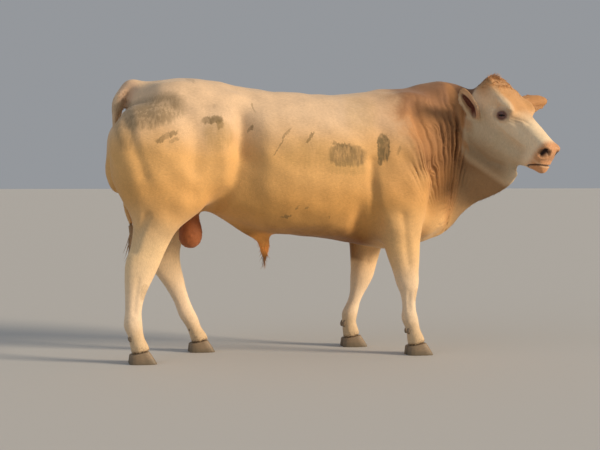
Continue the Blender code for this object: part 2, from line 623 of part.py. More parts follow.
def tail_pieces(torso, parts, cutters):
    tail = path_tube(rows_between(TAIL, 2), parts, "tail")
    fit_to(tail, [torso], cutters)
    rows = [(x, z, half, half) for x, z, half in rows_between(SWITCH, 2)]
    start = Vector((rows[1][0] - rows[0][0], 0, rows[1][1] - rows[0][1])).normalized() * GAP
    rows[0] = (rows[0][0] + start.x, rows[0][1] + start.z, rows[0][2], rows[0][3])
    switch = path_tube(rows, parts, "tail_switch", count=12)
    draw = random.Random(7)
    for k in range(20):
        turn = 2.4 * k
        out = Vector((math.cos(turn), math.sin(turn), 0))
        share = 0.12 + 0.62 * k / 20
        x, z = SWITCH[0][0] + 0.03 * share, 0.740 - 0.36 * share
        half = 0.020 + 0.012 * math.sin(math.pi * share)
        way = Vector((0.03, 0, -1)) + out * draw.uniform(0.10, 0.20)
        bend = -out * draw.uniform(0.10, 0.24) + Vector((0, 0, -0.1))
        length = draw.uniform(0.15, 0.20) * (1 - 0.25 * share)
        root = Vector((x, 0, z)) + out * half * 0.4
        lock(root, way, bend, out, length, draw.uniform(0.026, 0.036), cutters)
    boolean(switch, "UNION", cutters)
    keep_largest(switch)
    fit_to(switch, [tail], cutters)
    return [tail, switch]


def sheath_pieces(torso, parts, cutters):
    sheath = upright_tube([(x, z, half, half * 1.15) for x, z, half in PREPUCE], parts, "sheath", 12)
    draw = random.Random(3)
    for k in range(7):
        turn = 2.4 * k
        out = Vector((math.cos(turn), math.sin(turn), 0))
        lock(Vector((-0.033, 0, 0.582)) + out * 0.010, Vector((0, 0, -1)) + 0.16 * out, -0.22 * out, out,
             draw.uniform(0.075, 0.100), draw.uniform(0.018, 0.024), cutters)
    boolean(sheath, "UNION", cutters)
    keep_largest(sheath)
    fit_to(sheath, [torso], cutters)
    return sheath


def scrotum_piece(neighbours, parts, cutters):
    rows = [(SCROTUM_X, z, half, length) for z, half, length in rows_between(SCROTUM, 2)]
    scrotum = upright_tube(rows, parts, "scrotum", count=14)
    fit_to(scrotum, neighbours, cutters)
    return scrotum


def ear_piece(name, head, parts, cutters):
    root, tip, faces = (Vector(v) for v in EARS[name])
    along = (tip - root).normalized()
    facing = (faces - along * faces.dot(along)).normalized()
    across = along.cross(facing)
    steps = [-1 + 0.25 * k for k in range(9)]
    rings = []
    for share, half, depth, hollow in EAR_SECTIONS:
        middle = root + (tip - root) * share + facing * 0.018 * math.sin(math.pi * share)
        ring = [middle + across * half * s - facing * depth * (1 - s * s) for s in steps]
        inner = max(depth - EAR_WALL, 0.0) * hollow
        for s in reversed(steps[1:-1]):
            ring.append(middle + across * half * s * 0.96 - facing * (inner * (1 - s * s) - 0.0015))
        rings.append([HEAD @ p for p in ring])
    ear = loft(rings, parts, name)
    fit_to(ear, [head], cutters)
    return ear


def ray(head_mesh, start, way):
    corners = [v.co for v in head_mesh.vertices]
    tree = BVHTree.FromPolygons(corners, [tuple(p.vertices) for p in head_mesh.polygons])
    start = HEAD @ Vector(start)
    way = HEAD.to_3x3() @ Vector(way)
    hit = tree.ray_cast(start, way)[0]
    return HEAD.inverted() @ hit


# Frame at a point of the head whose Y axis looks out the given way.
def outward(point, way, tilt=0.0):
    way = Vector(way).normalized()
    down = Vector((1, 0, 0)) - way * way.x
    down.normalize()
    turn = Matrix((down, way, down.cross(way))).transposed().to_4x4()
    return HEAD @ Matrix.Translation(point) @ turn @ Matrix.Rotation(math.radians(tilt), 4, "Y")


def head_details(head, parts, cutters):
    eyes = []
    for side, name in ((1, "eye_left"), (-1, "eye_right")):
        centre = Vector((EYE_CENTRE[0], side * EYE_CENTRE[1], EYE_CENTRE[2]))
        look = (0.28, side * 0.93, 0.20)
        frame = outward(centre, look, -side * 12)
        ellipsoid((0, 0.002, 0), (0.034, 0.0235, 0.025), cutters, frame)
        boolean(head, "UNION", cutters)
        ellipsoid((0, 0.026, 0), (0.0225, 0.024, 0.0130), cutters, frame)
        ellipsoid((0, 0, 0), (EYE_RADIUS + 1.5 * GAP,) * 3, cutters, frame)
        boolean(head, "DIFFERENCE", cutters)
        eyes.append(ellipsoid((0, 0, 0), (EYE_RADIUS,) * 3, parts, frame))
        eyes[-1].name = name
    for side in (1, -1):
        hit = ray(head.data, (0.500, 0, -0.060), (0.72, side * 0.70, 0.10))
        frame = outward(hit, (0.60, side * 0.80, 0.05), side * 20)
        ellipsoid((0, -0.003, 0), (0.0125, 0.022, 0.0170), cutters, frame)
    boolean(head, "DIFFERENCE", cutters)
    line = []
    for k in range(-6, 7):
        turn = k / 6 * math.radians(80)
        start = Vector((0.515, 0.0, -0.152))
        way = Vector((math.cos(turn), math.sin(turn), 0.52 * math.cos(turn) ** 2 - 0.18))
        line.append(ray(head.data, start, way))
    rings = []
    for i, p in enumerate(line):
        along = (line[min(i + 1, 12)] - line[max(i - 1, 0)]).normalized()
        up = Vector((0.4, 0, 1)).normalized()
        out = along.cross(up).normalized()
        rings.append([HEAD @ (p + out * 0.006 * a + up * 0.0022 * b)
                      for a, b in ((1, 1), (-1, 0.6), (-1, -0.6), (1, -1))])
    loft(rings, cutters)
    boolean(head, "DIFFERENCE", cutters)
    draw = random.Random(11)
    for k in range(14):
        across = (k % 5 - 2) * 0.030 + draw.uniform(-0.006, 0.006)
        row = k // 5
        height = 0.024 + 0.006 * row - 1.6 * across * across
        root = HEAD @ Vector((-0.012 + 0.042 * row, across, height))
        way = HEAD.to_3x3() @ Vector((1.0, across * 5 + draw.uniform(-0.3, 0.3), 0.42 - 0.16 * row))
        face = HEAD.to_3x3() @ Vector((0, 0, 1))
        lock(root, way, -0.42 * face, face, draw.uniform(0.050, 0.066), draw.uniform(0.026, 0.034), cutters)
    boolean(head, "UNION", cutters)
    keep_largest(head)
    return eyes


def claw(name, x, y, side, parts):
    rings = []
    shares = ((0.0, 0.95), (0.05, 1.0), (0.35, 0.985), (0.7, 0.96), (1.0, 0.945))
    for share, swell in shares:
        front = CLAW_FRONT + (CORONET_REACH * 0.90 - CLAW_FRONT) * share
        back = CLAW_BACK + (CORONET_REACH * 0.96 - CLAW_BACK) * share
        half = 0.5 * CLAW_WIDTH * swell
        ring = []
        for a, b in oval((front + back) / 2 * swell, half, half, 2.6, 2.6, 16):
            along = (front - back) / 2 + a
            toe = 0.10 * side * (along + 0.02)
            slope = (CORONET_FRONT - CORONET_HEEL) / (2 * CORONET_REACH)
            top = (CORONET_FRONT + CORONET_HEEL) / 2 + along * slope
            ring.append(Vector((x + along, y + side * (0.5 * CLAW_WIDTH + 0.0012) + b + toe,
                                share * (top - GAP))))
        rings.append(ring)
    return loft(rings, parts, name)


def feet(pieces, parts, cutters):
    for foot, (x, y) in FEET.items():
        limb, hand = foot.split("_")
        leg_node = pieces[f"{limb}leg_lower_{hand}"]
        for side, place in ((1, "left"), (-1, "right")):
            claw(f"claw_{foot}_{place}", x, y, side, parts)
            middle = (x - DEWCLAW_BEHIND, y + side * DEWCLAW_ASIDE, DEWCLAW_HEIGHT)
            frame = Matrix.Translation(middle) @ Matrix.Rotation(DEWCLAW_TILT, 4, "Y")
            dew = ellipsoid((0, 0, 0), DEWCLAW_SIZE, parts, frame, level=2)
            dew.name = f"dewclaw_{foot}_{place}"
            fit_to(dew, [leg_node], cutters)


def colour_of(name):
    if name.startswith(("claw", "dewclaw")):
        return "horn"
    if name.startswith("eye"):
        return "eye"
    if name.startswith(("fore", "hind")):
        return "leg"
    return {"neck": "neck", "tail_switch": "hair", "scrotum": "bare", "sheath": "bare"}.get(name, "coat")


def finish(parts):
    low = Vector((math.inf,) * 3)
    high = -low
    for obj in parts.objects:
        for v in obj.data.vertices:
            low = Vector(map(min, low, v.co))
            high = Vector(map(max, high, v.co))
    root = bpy.data.objects.new("bull", None)
    parts.objects.link(root)
    root.location = (-(low.x + high.x) / 2, -(low.y + high.y) / 2, -low.z)
    for obj in parts.objects:
        if obj.type != "MESH":
            continue
        obj.parent = root
        kind = colour_of(obj.name)
        material = bpy.data.materials.new(obj.name)
        material.use_nodes = True
        shader = material.node_tree.nodes["Principled BSDF"]
        shader.inputs["Base Color"].default_value = (*COLOURS[kind], 1.0)
        shader.inputs["Roughness"].default_value = {"eye": 0.08, "horn": 0.45}.get(kind, 0.85)
        shader.inputs["Metallic"].default_value = 0.0
        obj.data.materials.clear()
        obj.data.materials.append(material)
        obj.data.shade_smooth()
        obj.data.set_sharp_from_angle(angle=math.radians(40))


def main():
    clear()
    parts = collection("bull")
    cutters = collection("cutters")
    flesh = melted_flesh(parts)
    thinned(flesh)
    pieces = part_flesh(flesh, parts, cutters)
    head_details(pieces["head"], parts, cutters)
    for name in EARS:
        ear_piece(name, pieces["head"], parts, cutters)
    tail_pieces(pieces["torso"], parts, cutters)
    sheath_pieces(pieces["torso"], parts, cutters)
    beside_scrotum = [pieces[name] for name in ("torso", "hindleg_upper_right", "hindleg_upper_left")]
    scrotum_piece(beside_scrotum, parts, cutters)
    feet(pieces, parts, cutters)
    finish(parts)


main()
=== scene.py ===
import math

import bmesh
import bpy
import numpy as np
from mathutils import Matrix, Vector
from mathutils.bvhtree import BVHTree


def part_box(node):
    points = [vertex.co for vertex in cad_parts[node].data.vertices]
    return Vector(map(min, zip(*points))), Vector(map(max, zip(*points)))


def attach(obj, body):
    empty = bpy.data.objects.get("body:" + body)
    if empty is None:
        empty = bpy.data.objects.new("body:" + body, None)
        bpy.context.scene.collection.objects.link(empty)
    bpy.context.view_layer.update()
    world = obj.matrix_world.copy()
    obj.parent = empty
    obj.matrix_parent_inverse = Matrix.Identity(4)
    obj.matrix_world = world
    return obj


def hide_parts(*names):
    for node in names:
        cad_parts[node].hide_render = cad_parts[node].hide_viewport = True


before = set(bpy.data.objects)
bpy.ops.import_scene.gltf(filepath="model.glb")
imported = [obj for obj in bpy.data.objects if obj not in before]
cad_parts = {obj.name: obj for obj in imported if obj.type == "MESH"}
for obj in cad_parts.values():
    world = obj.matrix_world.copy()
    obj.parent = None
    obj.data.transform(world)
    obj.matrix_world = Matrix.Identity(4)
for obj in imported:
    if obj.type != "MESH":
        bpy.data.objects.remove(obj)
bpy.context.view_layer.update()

# The head's own frame: X down the face from the poll, Y to its left, Z out of the forehead.
headTurn = math.radians(58)
headPitch = math.radians(41)
eyePlace = Vector((0.246, 0.0, -0.062))
pollPlace = Vector((1.285, -0.185, 1.570))


def boxMiddle(node):
    low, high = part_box(node)
    return (low + high) / 2


headSpin = Matrix.Rotation(-headTurn, 4, "Z") @ Matrix.Rotation(headPitch, 4, "Y")
eyeMiddle = (boxMiddle("eye_left") + boxMiddle("eye_right")) / 2
head = Matrix.Translation(eyeMiddle) @ headSpin @ Matrix.Translation(-eyePlace)
headAxes = np.array(head)[:3, :3]
shift = head.translation - pollPlace  # from the drawing's own places to the frame's
print("shift", tuple(round(v, 4) for v in shift))

# Places that several pieces share, in the drawing's own metres along X.
bagX = -0.46
sheathX = -0.035
tailX = -0.74
jawStart, jawSlope = 0.0675, 0.75


# Numbers on meshes.
def pointsOf(mesh):
    flat = np.empty(len(mesh.vertices) * 3, np.float32)
    mesh.vertices.foreach_get("co", flat)
    return flat.reshape(-1, 3).astype(float)


def setPoints(mesh, points):
    mesh.vertices.foreach_set("co", points.astype(np.float32).ravel())
    mesh.update()


def normalsOf(mesh):
    flat = np.empty(len(mesh.vertices) * 3, np.float32)
    mesh.vertex_normals.foreach_get("vector", flat)
    return flat.reshape(-1, 3).astype(float)


def toHead(points):
    inside = np.array(head.inverted())
    return points @ inside[:3, :3].T + inside[:3, 3]


def toBody(points):
    return points - np.array(shift)


# 0 below low, 1 above high, smooth between
def rise(value, low, high):
    t = np.clip((value - low) / (high - low), 0, 1)
    return t * t * (3 - 2 * t)


# 1 at nothing, falling off smoothly with one and two
def bell(one, two=0.0, onePower=2, twoPower=2):
    return np.exp(-one ** onePower - two ** twoPower)


# smooth random field from a few seeded waves
def waves(points, size, seed, count=14):
    draw = np.random.default_rng(seed)
    total = np.zeros(len(points))
    for _ in range(count):
        way = draw.normal(size=3)
        way *= (2 * math.pi / size) * draw.uniform(0.6, 1.6) / np.linalg.norm(way)
        total += np.sin(points @ way + draw.uniform(0, 6.28))
    return total / math.sqrt(count / 2)


def unit(vectors):
    return vectors / np.maximum(np.linalg.norm(vectors, axis=1, keepdims=True), 1e-9)


def direction(way):
    return np.array(way) / np.linalg.norm(way)


# How far a place lies past the slanting edge between neck and jaw; works on numbers and on wires.
def pastJaw(p, q):
    return p + jawStart + q * jawSlope


def relax(mesh, share, repeats):
    ends = np.empty(len(mesh.edges) * 2, np.int32)
    mesh.edges.foreach_get("vertices", ends)
    one, two = ends.reshape(-1, 2).T
    points = pointsOf(mesh)
    count = len(points)
    near = np.bincount(one, minlength=count) + np.bincount(two, minlength=count)
    for _ in range(repeats):
        sums = [np.bincount(one, points[two, k], count) + np.bincount(two, points[one, k], count)
                for k in range(3)]
        points += share[:, None] * (np.stack(sums, axis=1) / near[:, None] - points)
    setPoints(mesh, points)


def makeObject(name, mesh):
    made = bpy.data.objects.new(name, mesh)
    bpy.context.scene.collection.objects.link(made)
    return made


def meshOf(name, bm):
    mesh = bpy.data.meshes.new(name)
    bm.to_mesh(mesh)
    bm.free()
    return mesh


def applied(obj):
    graph = bpy.context.evaluated_depsgraph_get()
    mesh = bpy.data.meshes.new_from_object(obj.evaluated_get(graph))
    obj.modifiers.clear()
    obj.data = mesh


def remesh(obj, cell):
    modifier = obj.modifiers.new("remesh", "REMESH")
    modifier.mode = "VOXEL"
    modifier.voxel_size = cell
    applied(obj)


def copyOfNodes(names, grow=0.0, growEars=0.0):
    whole = bmesh.new()
    for name in names:
        one = bmesh.new()
        one.from_mesh(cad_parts[name].data)
        bmesh.ops.remove_doubles(one, verts=one.verts, dist=1e-5)
        one.normal_update()
        for vert in one.verts:
            vert.co += vert.normal * (growEars if name.startswith("ear") else grow)
        whole.from_mesh(meshOf("copy", one))
    return whole


def joined(name, parts):
    whole = bmesh.new()
    for part in parts:
        whole.from_mesh(meshOf("part", part))
    mesh = meshOf(name, whole)
    mesh.shade_smooth()
    made = makeObject(name, mesh)
    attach(made, "root")
    return made


# Ears, in the head's frame: the root, from there to the tip, and the way the cup faces.
earRoots = {-1: (0.135, -0.114, -0.198), 1: (0.092, 0.106, -0.128)}
earWays = {-1: (-0.090, -0.189, 0.158), 1: (0.058, 0.282, 0.130)}
earFacing = {-1: (0.500, -0.540, -0.700), 1: (-0.450, 0.500, -0.720)}
# Forms in the cup: place and half width across, place and half length along, slant, height.
earForms = [
    (0.018, 0.014, 0.125, 0.070, 0.0, 0.0050),  # hairy wall
    (-0.042, 0.009, 0.125, 0.080, 0.0, 0.0030),  # thick rim
    (-0.015, 0.015, 0.120, 0.080, 0.12, -0.0150),  # deep slit
]
earMiddle = 0.122


# True on the ears, from how near a point is to the line from root to tip.
def onEars(face):
    found = np.zeros(len(face), bool)
    for side, root in earRoots.items():
        way = np.array(earWays[side])
        away = face - np.array(root)
        share = np.clip(away @ way / (way @ way), 0.25, 1.0)
        gap = np.linalg.norm(away - share[:, None] * way, axis=1)
        found |= (gap < 0.078) & (face[:, 1] * side > 0.138)
    return found


# For each ear: how far each point faces out of its cup, how far it is from the root and how far across.
def earParts(face, normals):
    for side in earFacing:
        facing, way = direction(earFacing[side]), direction(earWays[side])
        away = face - np.array(earRoots[side])
        mine = onEars(face) * (face[:, 1] * side > 0)
        inside = mine * rise(normals @ (headAxes @ facing), 0.1, 0.6)
        yield inside, away @ way, -side * away @ np.cross(way, facing)


# The skin: every fleshy node in one piece, melted together and then carved.
limbs = [f"{limb}leg_{half}_{hand}" for limb in ("fore", "hind")
         for half in ("upper", "lower") for hand in ("left", "right")]
fleshNodes = ["torso", "neck", "head", "ear_left", "ear_right", "tail", "scrotum", "sheath"] + limbs
skinLook = {"coarse": 0.009, "fine": 0.0050, "grow": 0.0008, "growEars": 0.0036, "melt": 26, "meltFine": 5,
            "triangles": 300000, "coatDepth": 0.0030}


def onTailRoot(x, y, half):
    return (x < tailX) & (np.abs(y) < half)


def largestShell(obj):
    bm = bmesh.new()
    bm.from_mesh(obj.data)
    bm.verts.ensure_lookup_table()
    label = np.arange(len(bm.verts))
    ends = np.array([[e.verts[0].index, e.verts[1].index] for e in bm.edges])
    while True:
        low = np.minimum(label[ends[:, 0]], label[ends[:, 1]])
        fresh = label.copy()
        np.minimum.at(fresh, ends[:, 0], low)
        np.minimum.at(fresh, ends[:, 1], low)
        fresh = fresh[fresh]
        if np.array_equal(fresh, label):
            break
        label = fresh
    names, sizes = np.unique(label, return_counts=True)
    main = names[np.argmax(sizes)]
    loose = [bm.verts[i] for i in np.nonzero(label != main)[0]]
    bmesh.ops.delete(bm, geom=loose, context="VERTS")
    bm.to_mesh(obj.data)
    bm.free()


def makeSkin():
    made = makeObject("skin", meshOf("skin", copyOfNodes(fleshNodes, skinLook["grow"])))
    remesh(made, skinLook["coarse"])
    points = pointsOf(made.data)
    x, y, _ = toBody(points).T
    face = toHead(points)
    onHead = rise(face[:, 0], -0.06, 0.04) * (x > 1.1)
    share = 0.6 * (1 - 0.90 * onHead) * (1 - 0.88 * rise(-points[:, 2], -0.70, -0.40))
    share[onEars(face) | onTailRoot(x, y, 0.055)] = 0.05
    relax(made.data, share, skinLook["melt"])
    print("coarse skin", len(made.data.polygons))
    # the head and ears come back at full sharpness, and all is melted once more
    bm = copyOfNodes(["head", "ear_left", "ear_right"], 0.0, skinLook["growEars"])
    bm.from_mesh(made.data)
    bm.to_mesh(made.data)
    bm.free()
    remesh(made, skinLook["fine"])
    largestShell(made)
    face = toHead(pointsOf(made.data))
    relax(made.data, np.where(onEars(face), 0.35, 0.5), skinLook["meltFine"])
    print("fine skin", len(made.data.polygons))
    return made


# Distance from points in a plane to a run of straight lines.
def toLine(x, z, corners):
    best = np.full(len(x), 9.0)
    for (ax, az), (bx, bz) in zip(corners, corners[1:]):
        wx, wz = bx - ax, bz - az
        t = np.clip(((x - ax) * wx + (z - az) * wz) / (wx * wx + wz * wz), 0, 1)
        best = np.minimum(best, np.hypot(x - ax - t * wx, z - az - t * wz))
    return best


# Grooves between the muscles: side (0 both), corners in X and Z, half width, depth.
muscleLines = [
    (0, [(0.512, 1.10), (0.505, 0.99), (0.520, 0.88), (0.560, 0.74)], 0.030, 0.018),
    (0, [(0.790, 1.42), (0.830, 1.20), (0.880, 1.02), (0.865, 0.86)], 0.034, 0.013),
    (0, [(0.660, 1.16), (0.760, 1.06), (0.800, 0.94)], 0.040, 0.008),
    (0, [(-0.215, 1.34), (-0.235, 1.12), (-0.270, 0.95), (-0.340, 0.84)], 0.036, 0.018),
    (0, [(-0.850, 1.33), (-0.832, 1.25), (-0.800, 1.13), (-0.762, 1.02)], 0.034, 0.013),
    (0, [(-0.420, 1.36), (-0.470, 1.20), (-0.480, 1.05)], 0.045, 0.008),
    (0, [(-0.400, 1.00), (-0.470, 0.93)], 0.050, 0.008),
    (-1, [(0.690, 0.80), (0.715, 0.66), (0.740, 0.52)], 0.022, 0.006),
    (1, [(0.640, 0.80), (0.640, 0.66), (0.630, 0.52)], 0.022, 0.006),
    (-1, [(-0.745, 0.80), (-0.785, 0.70), (-0.808, 0.62)], 0.024, 0.012),
    (1, [(-0.590, 0.80), (-0.625, 0.70), (-0.650, 0.61)], 0.024, 0.012),
    (-1, [(-0.782, 0.46), (-0.797, 0.36), (-0.800, 0.28)], 0.014, 0.004),
    (-1, [(0.748, 0.36), (0.752, 0.26)], 0.013, 0.004),
]
# Hollows of the flank and behind the elbow: place, slant, half length, half height, depth.
hollows = [(-0.205, 1.15, 0.0, 0.080, 0.20, 0.060), (0.485, 0.70, 0.25, 0.062, 0.14, 0.045)]
# Lines of the face in its own frame.
faceLines = [
    ([(0.390, -0.175), (0.440, -0.160)], 0.044, 0.012),
    ([(0.330, -0.050), (0.420, -0.060), (0.490, -0.070)], 0.020, 0.005),
    ([(0.270, -0.122), (0.360, -0.124), (0.450, -0.112)], 0.014, -0.003),
    ([(0.180, -0.045), (0.150, -0.080)], 0.026, 0.009),
    ([(0.130, -0.290), (0.220, -0.322), (0.320, -0.335), (0.410, -0.305)], 0.020, 0.012),
    ([(0.300, -0.150), (0.322, -0.220), (0.300, -0.285)], 0.020, 0.006),
    ([(0.186, -0.066), (0.206, -0.026), (0.240, -0.008), (0.272, -0.012)], 0.009, 0.006),
    ([(0.222, -0.100), (0.260, -0.106), (0.300, -0.084)], 0.009, 0.004),
    ([(0.300, -0.036), (0.345, -0.014), (0.386, -0.008)], 0.006, 0.004),
    ([(0.302, -0.050), (0.350, -0.030)], 0.006, 0.004),
    ([(0.298, -0.066), (0.336, -0.052)], 0.006, 0.003),
]
mouthLine = [(0.640, -0.112), (0.605, -0.129), (0.568, -0.154), (0.540, -0.180), (0.526, -0.202)]
mouthLook = {"slit": 0.0045, "slitDepth": 0.0120, "lips": 0.016, "lipsHeight": 0.0035}
nostrilLine = [(0.565, -0.074), (0.578, -0.056)]
nostrilLook = {"half": 0.0215, "depth": 0.0250, "rim": 0.029, "rimHalf": 0.009, "rimHeight": 0.0035,
               "farSide": 0.75}
foldLook = {"meet": (1.03, 0.60), "angle": 3.3, "fine": 1.15, "depth": 0.0250, "kinds": 60, "seed": 17,
            "farSide": 0.35, "throat": 0.034, "throatDepth": 0.004}


# Upright folds where the turned neck bunches, no two alike: how deep, how near the head, and the warp.
def neckFolds(body, pastEdge):
    x, _, z = body.T
    warp = 0.014 * waves(body * [1, 1, 0.3], 0.24, 5) + 0.003 * waves(body * [1, 1, 0.5], 0.07, 6)
    fan = np.degrees(np.arctan2(x - foldLook["meet"][0], z - foldLook["meet"][1])) + 75 * warp
    turn = fan / foldLook["angle"]
    which = np.floor(turn).astype(int) % foldLook["kinds"]
    draw = np.random.default_rng(foldLook["seed"])
    deep = draw.uniform(0.25, 1.0, foldLook["kinds"])[which]
    sharp = draw.uniform(1.2, 3.0, foldLook["kinds"])[which]
    crease = deep * (0.5 - 0.5 * np.cos(2 * math.pi * turn)) ** sharp
    small = (0.5 - 0.5 * np.cos(2 * math.pi * (fan + 60 * warp) / foldLook["fine"])) ** 2
    crease = np.maximum(crease, 0.28 * small * rise(waves(body, 0.18, 12), -0.5, 0.9))
    where = rise(x + 0.03 * waves(body, 0.25, 9), 0.66, 0.98) * rise(-pastEdge, 0.0, 0.05)
    where *= rise(z + 0.03 * waves(body, 0.2, 10), 0.84, 1.14) * rise(-z, -1.54, -1.36)
    strength = 0.35 + 0.65 * rise(waves(body, 0.30, 8), -0.8, 0.8) + 0.5 * rise(pastEdge, -0.20, -0.05)
    return crease, where, strength, warp


def carved(made):
    points, normals = pointsOf(made.data), normalsOf(made.data)
    body, face = toBody(points), toHead(points)
    x, y, z = body.T
    p, b, q = face.T
    onHead = rise(p, -0.02, 0.06) * (x > 1.05)
    move = np.zeros(len(points))
    for side, corners, half, depth in muscleLines:
        share = bell(toLine(x, z, corners) / half) * rise(np.abs(normals[:, 1]), 0.1, 0.6)
        if side:
            share *= y * side > 0
        move -= depth * share * (1 - onHead)
    crease, where, strength, warp = neckFolds(body, p - (-0.045 - jawSlope * q))
    near, far = rise(-normals[:, 1], 0.1, 0.5), rise(normals[:, 1], 0.1, 0.5)
    move -= foldLook["depth"] * crease * where * near * strength
    move -= foldLook["farSide"] * foldLook["depth"] * crease * where * far
    # loose skin of the throat and the brisket
    phase = 2 * math.pi * (x * 0.6 - z * 0.8 + 1.6 * warp) / foldLook["throat"]
    throat = rise(x, 0.90, 1.05) * rise(-z, -1.02, -0.86)
    move -= foldLook["throatDepth"] * (0.5 + 0.5 * np.cos(phase)) ** 2 * throat * (1 - onHead)
    # hollows, and a soft unevenness of the muscles
    hollow = np.zeros(len(points))
    for cx, cz, slant, long, high, depth in hollows:
        hollow += depth * bell((x - cx - slant * (cz - z)) / long, (z - cz) / high)
    move -= hollow * rise(np.abs(normals[:, 1]), 0.3, 0.7)
    move += 0.0022 * waves(body, 0.16, 21) * (1 - onHead) * rise(z, 0.5, 0.8)
    # cups of the ears
    for inside, along, wide in earParts(face, normals):
        cup = np.zeros(len(points))
        for across, half, middle, long, slant, height in earForms:
            away = wide - across + slant * (along - earMiddle)
            cup += height * bell(away / half, (along - middle) / long, 2, 4)
        move += inside * cup
    # face, mouth and nostrils
    for corners, half, depth in faceLines:
        share = bell(toLine(p, q, corners) / half) * onHead
        move -= depth * share * rise(np.abs(b), 0.03, 0.06)
    gap = toLine(p, q, mouthLine)
    slit = bell(gap / mouthLook["slit"]) * onHead
    move += mouthLook["lipsHeight"] * (bell(gap / mouthLook["lips"]) * onHead) - mouthLook["slitDepth"] * slit
    gap = toLine(p, q, nostrilLine)
    aside = onHead * rise(np.abs(b), 0.018, 0.034)
    hole = bell(gap / nostrilLook["half"], 0.0, 4) * aside
    rim = nostrilLook["rimHeight"] * bell((gap - nostrilLook["rim"]) / nostrilLook["rimHalf"]) * aside
    move += (rim - nostrilLook["depth"] * hole) * (1 - nostrilLook["farSide"] * (b > 0))
    # wrinkled scrotum
    bag = (np.hypot((x - bagX) / 0.085, y / 0.085) < 1) & (z < 0.80) & (z > 0.58)
    move += 0.0007 * waves(points * [1, 1, 2.2], 0.030, 31) * bag
    setPoints(made.data, points + normals * (move - skinLook["coatDepth"])[:, None])
    # how deep each point lies in a neck fold, the mouth's slit or a nostril: the mask for the painted shade
    # laid there
    dark = crease * where * (near * strength + foldLook["farSide"] * far)
    dark = np.maximum(dark, np.maximum(0.9 * slit, 1.15 * hole))
    layer = made.data.attributes.new("crease", "FLOAT", "POINT")
    layer.data.foreach_set("value", np.clip(dark, 0, 1).astype(np.float32))


# Fewer triangles, and most of them kept on the head, in the folds and low on the legs.
def thinnedSkin(made):
    points = pointsOf(made.data)
    x, y, z = toBody(points).T
    face = toHead(points)
    onHead = rise(face[:, 0], -0.08, 0.02) * (x > 1.0) * rise(-face[:, 2], -0.2, 0.0)
    folds = rise(x, 0.80, 1.00) * rise(-y, 0.02, 0.12)
    low = rise(-z, -0.30, -0.12)
    keep = np.clip(np.maximum.reduce([onHead, 0.35 * folds, 0.30 * low]), 0, 1)
    group = made.vertex_groups.new(name="thin")
    levels = np.round(keep * 10).astype(int)
    for level in range(11):
        group.add(np.nonzero(levels == level)[0].tolist(), 1.0 - level / 10, "REPLACE")
    modifier = made.modifiers.new("thin", "DECIMATE")
    modifier.ratio = skinLook["triangles"] / (2 * len(made.data.polygons))
    modifier.vertex_group = "thin"
    modifier.vertex_group_factor = 0.02
    applied(made)
    made.vertex_groups.clear()
    made.data.shade_smooth()
    print("skin triangles", len(made.data.polygons))


# A frame that looks out of each eye, turned so that the slit lies level.
def lookingOut(side):
    centre = Vector((eyePlace.x, side * 0.117, eyePlace.z))
    way = Vector((0.28, side * 0.93, 0.20)).normalized()
    down = (Vector((1, 0, 0)) - way * way.x).normalized()
    turn = Matrix((down, way, down.cross(way))).transposed().to_4x4()
    level = Matrix.Rotation(math.radians(-side * 38), 4, "Y")
    return head @ Matrix.Translation(centre) @ turn @ level


eyeLook = {"radius": 0.0205, "bulge": 0.0008, "iris": 0.0125, "pupilWide": 0.0080, "pupilHigh": 0.0038}
eyeFrames = {1: lookingOut(1), -1: lookingOut(-1)}


# Finer faces round the eyes and over the muzzle.
def finerFace(made):
    bm = bmesh.new()
    bm.from_mesh(made.data)
    inside = head.inverted()
    eyes = [f.translation for f in eyeFrames.values()]
    edges = set()
    for face in bm.faces:
        middle = face.calc_center_median()
        place = inside @ middle
        nearEye = min((middle - e).length for e in eyes) < 0.050
        onMuzzle = place.x > 0.505 and place.z > -0.26 and toBody(np.array([middle]))[0, 0] > 1.2
        if nearEye or onMuzzle:
            edges.update(face.edges)
    bmesh.ops.subdivide_edges(bm, edges=list(edges), cuts=1, use_grid_fill=True, smooth=0.4)
    bmesh.ops.triangulate(bm, faces=[f for f in bm.faces if len(f.verts) > 4])
    bm.to_mesh(made.data)
    bm.free()
    print("with finer face", len(made.data.polygons))


skin = makeSkin()
finerFace(skin)
carved(skin)
thinnedSkin(skin)
skinFaces = [tuple(p.vertices) for p in skin.data.polygons]
skinTree = BVHTree.FromPolygons([v.co for v in skin.data.vertices], skinFaces)
print("skin made")
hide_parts(*fleshNodes)
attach(skin, "root")


# Lids: a wrinkled shell over the eyeball with a slit, thickest at the upper lid.
lidLook = {"wide": 0.0172, "high": 0.0060, "thick": 0.0034, "upper": 0.0016, "wrinkle": 0.0007, "turns": 2.4,
           "reach": 82.0, "inner": 0.0005, "steps": 56, "rings": 12, "innerRings": 4}


# One loop of the shell: share 0 is the slit's edge, 1 the far edge under the skin.
def lidLoop(bm, side, share, inner):
    radius = eyeLook["radius"]
    loop = []
    for k in range(lidLook["steps"]):
        turn = 2 * math.pi * k / lidLook["steps"]
        across, up = lidLook["wide"] * math.cos(turn), lidLook["high"] * math.sin(turn)
        start = math.asin(math.hypot(across, up) / radius)
        tilt = start + (math.radians(lidLook["reach"]) - start) * share
        aim = math.atan2(up, across) * (1 - share) + share * (turn if turn <= math.pi else turn - 2 * math.pi)
        thick = lidLook["inner"]
        if not inner:
            swell = min(1.0, 0.45 + 3.0 * share)
            upper = 0.5 + 0.5 * math.sin(turn)
            ridge = lidLook["wrinkle"] * math.cos(2 * math.pi * lidLook["turns"] * share)
            thick = lidLook["thick"] * swell + lidLook["upper"] * upper * swell + ridge * swell
        out = Vector((math.sin(tilt) * math.cos(aim), math.cos(tilt), side * math.sin(tilt) * math.sin(aim)))
        loop.append(bm.verts.new(eyeFrames[side] @ (out * (radius + thick))))
    return loop


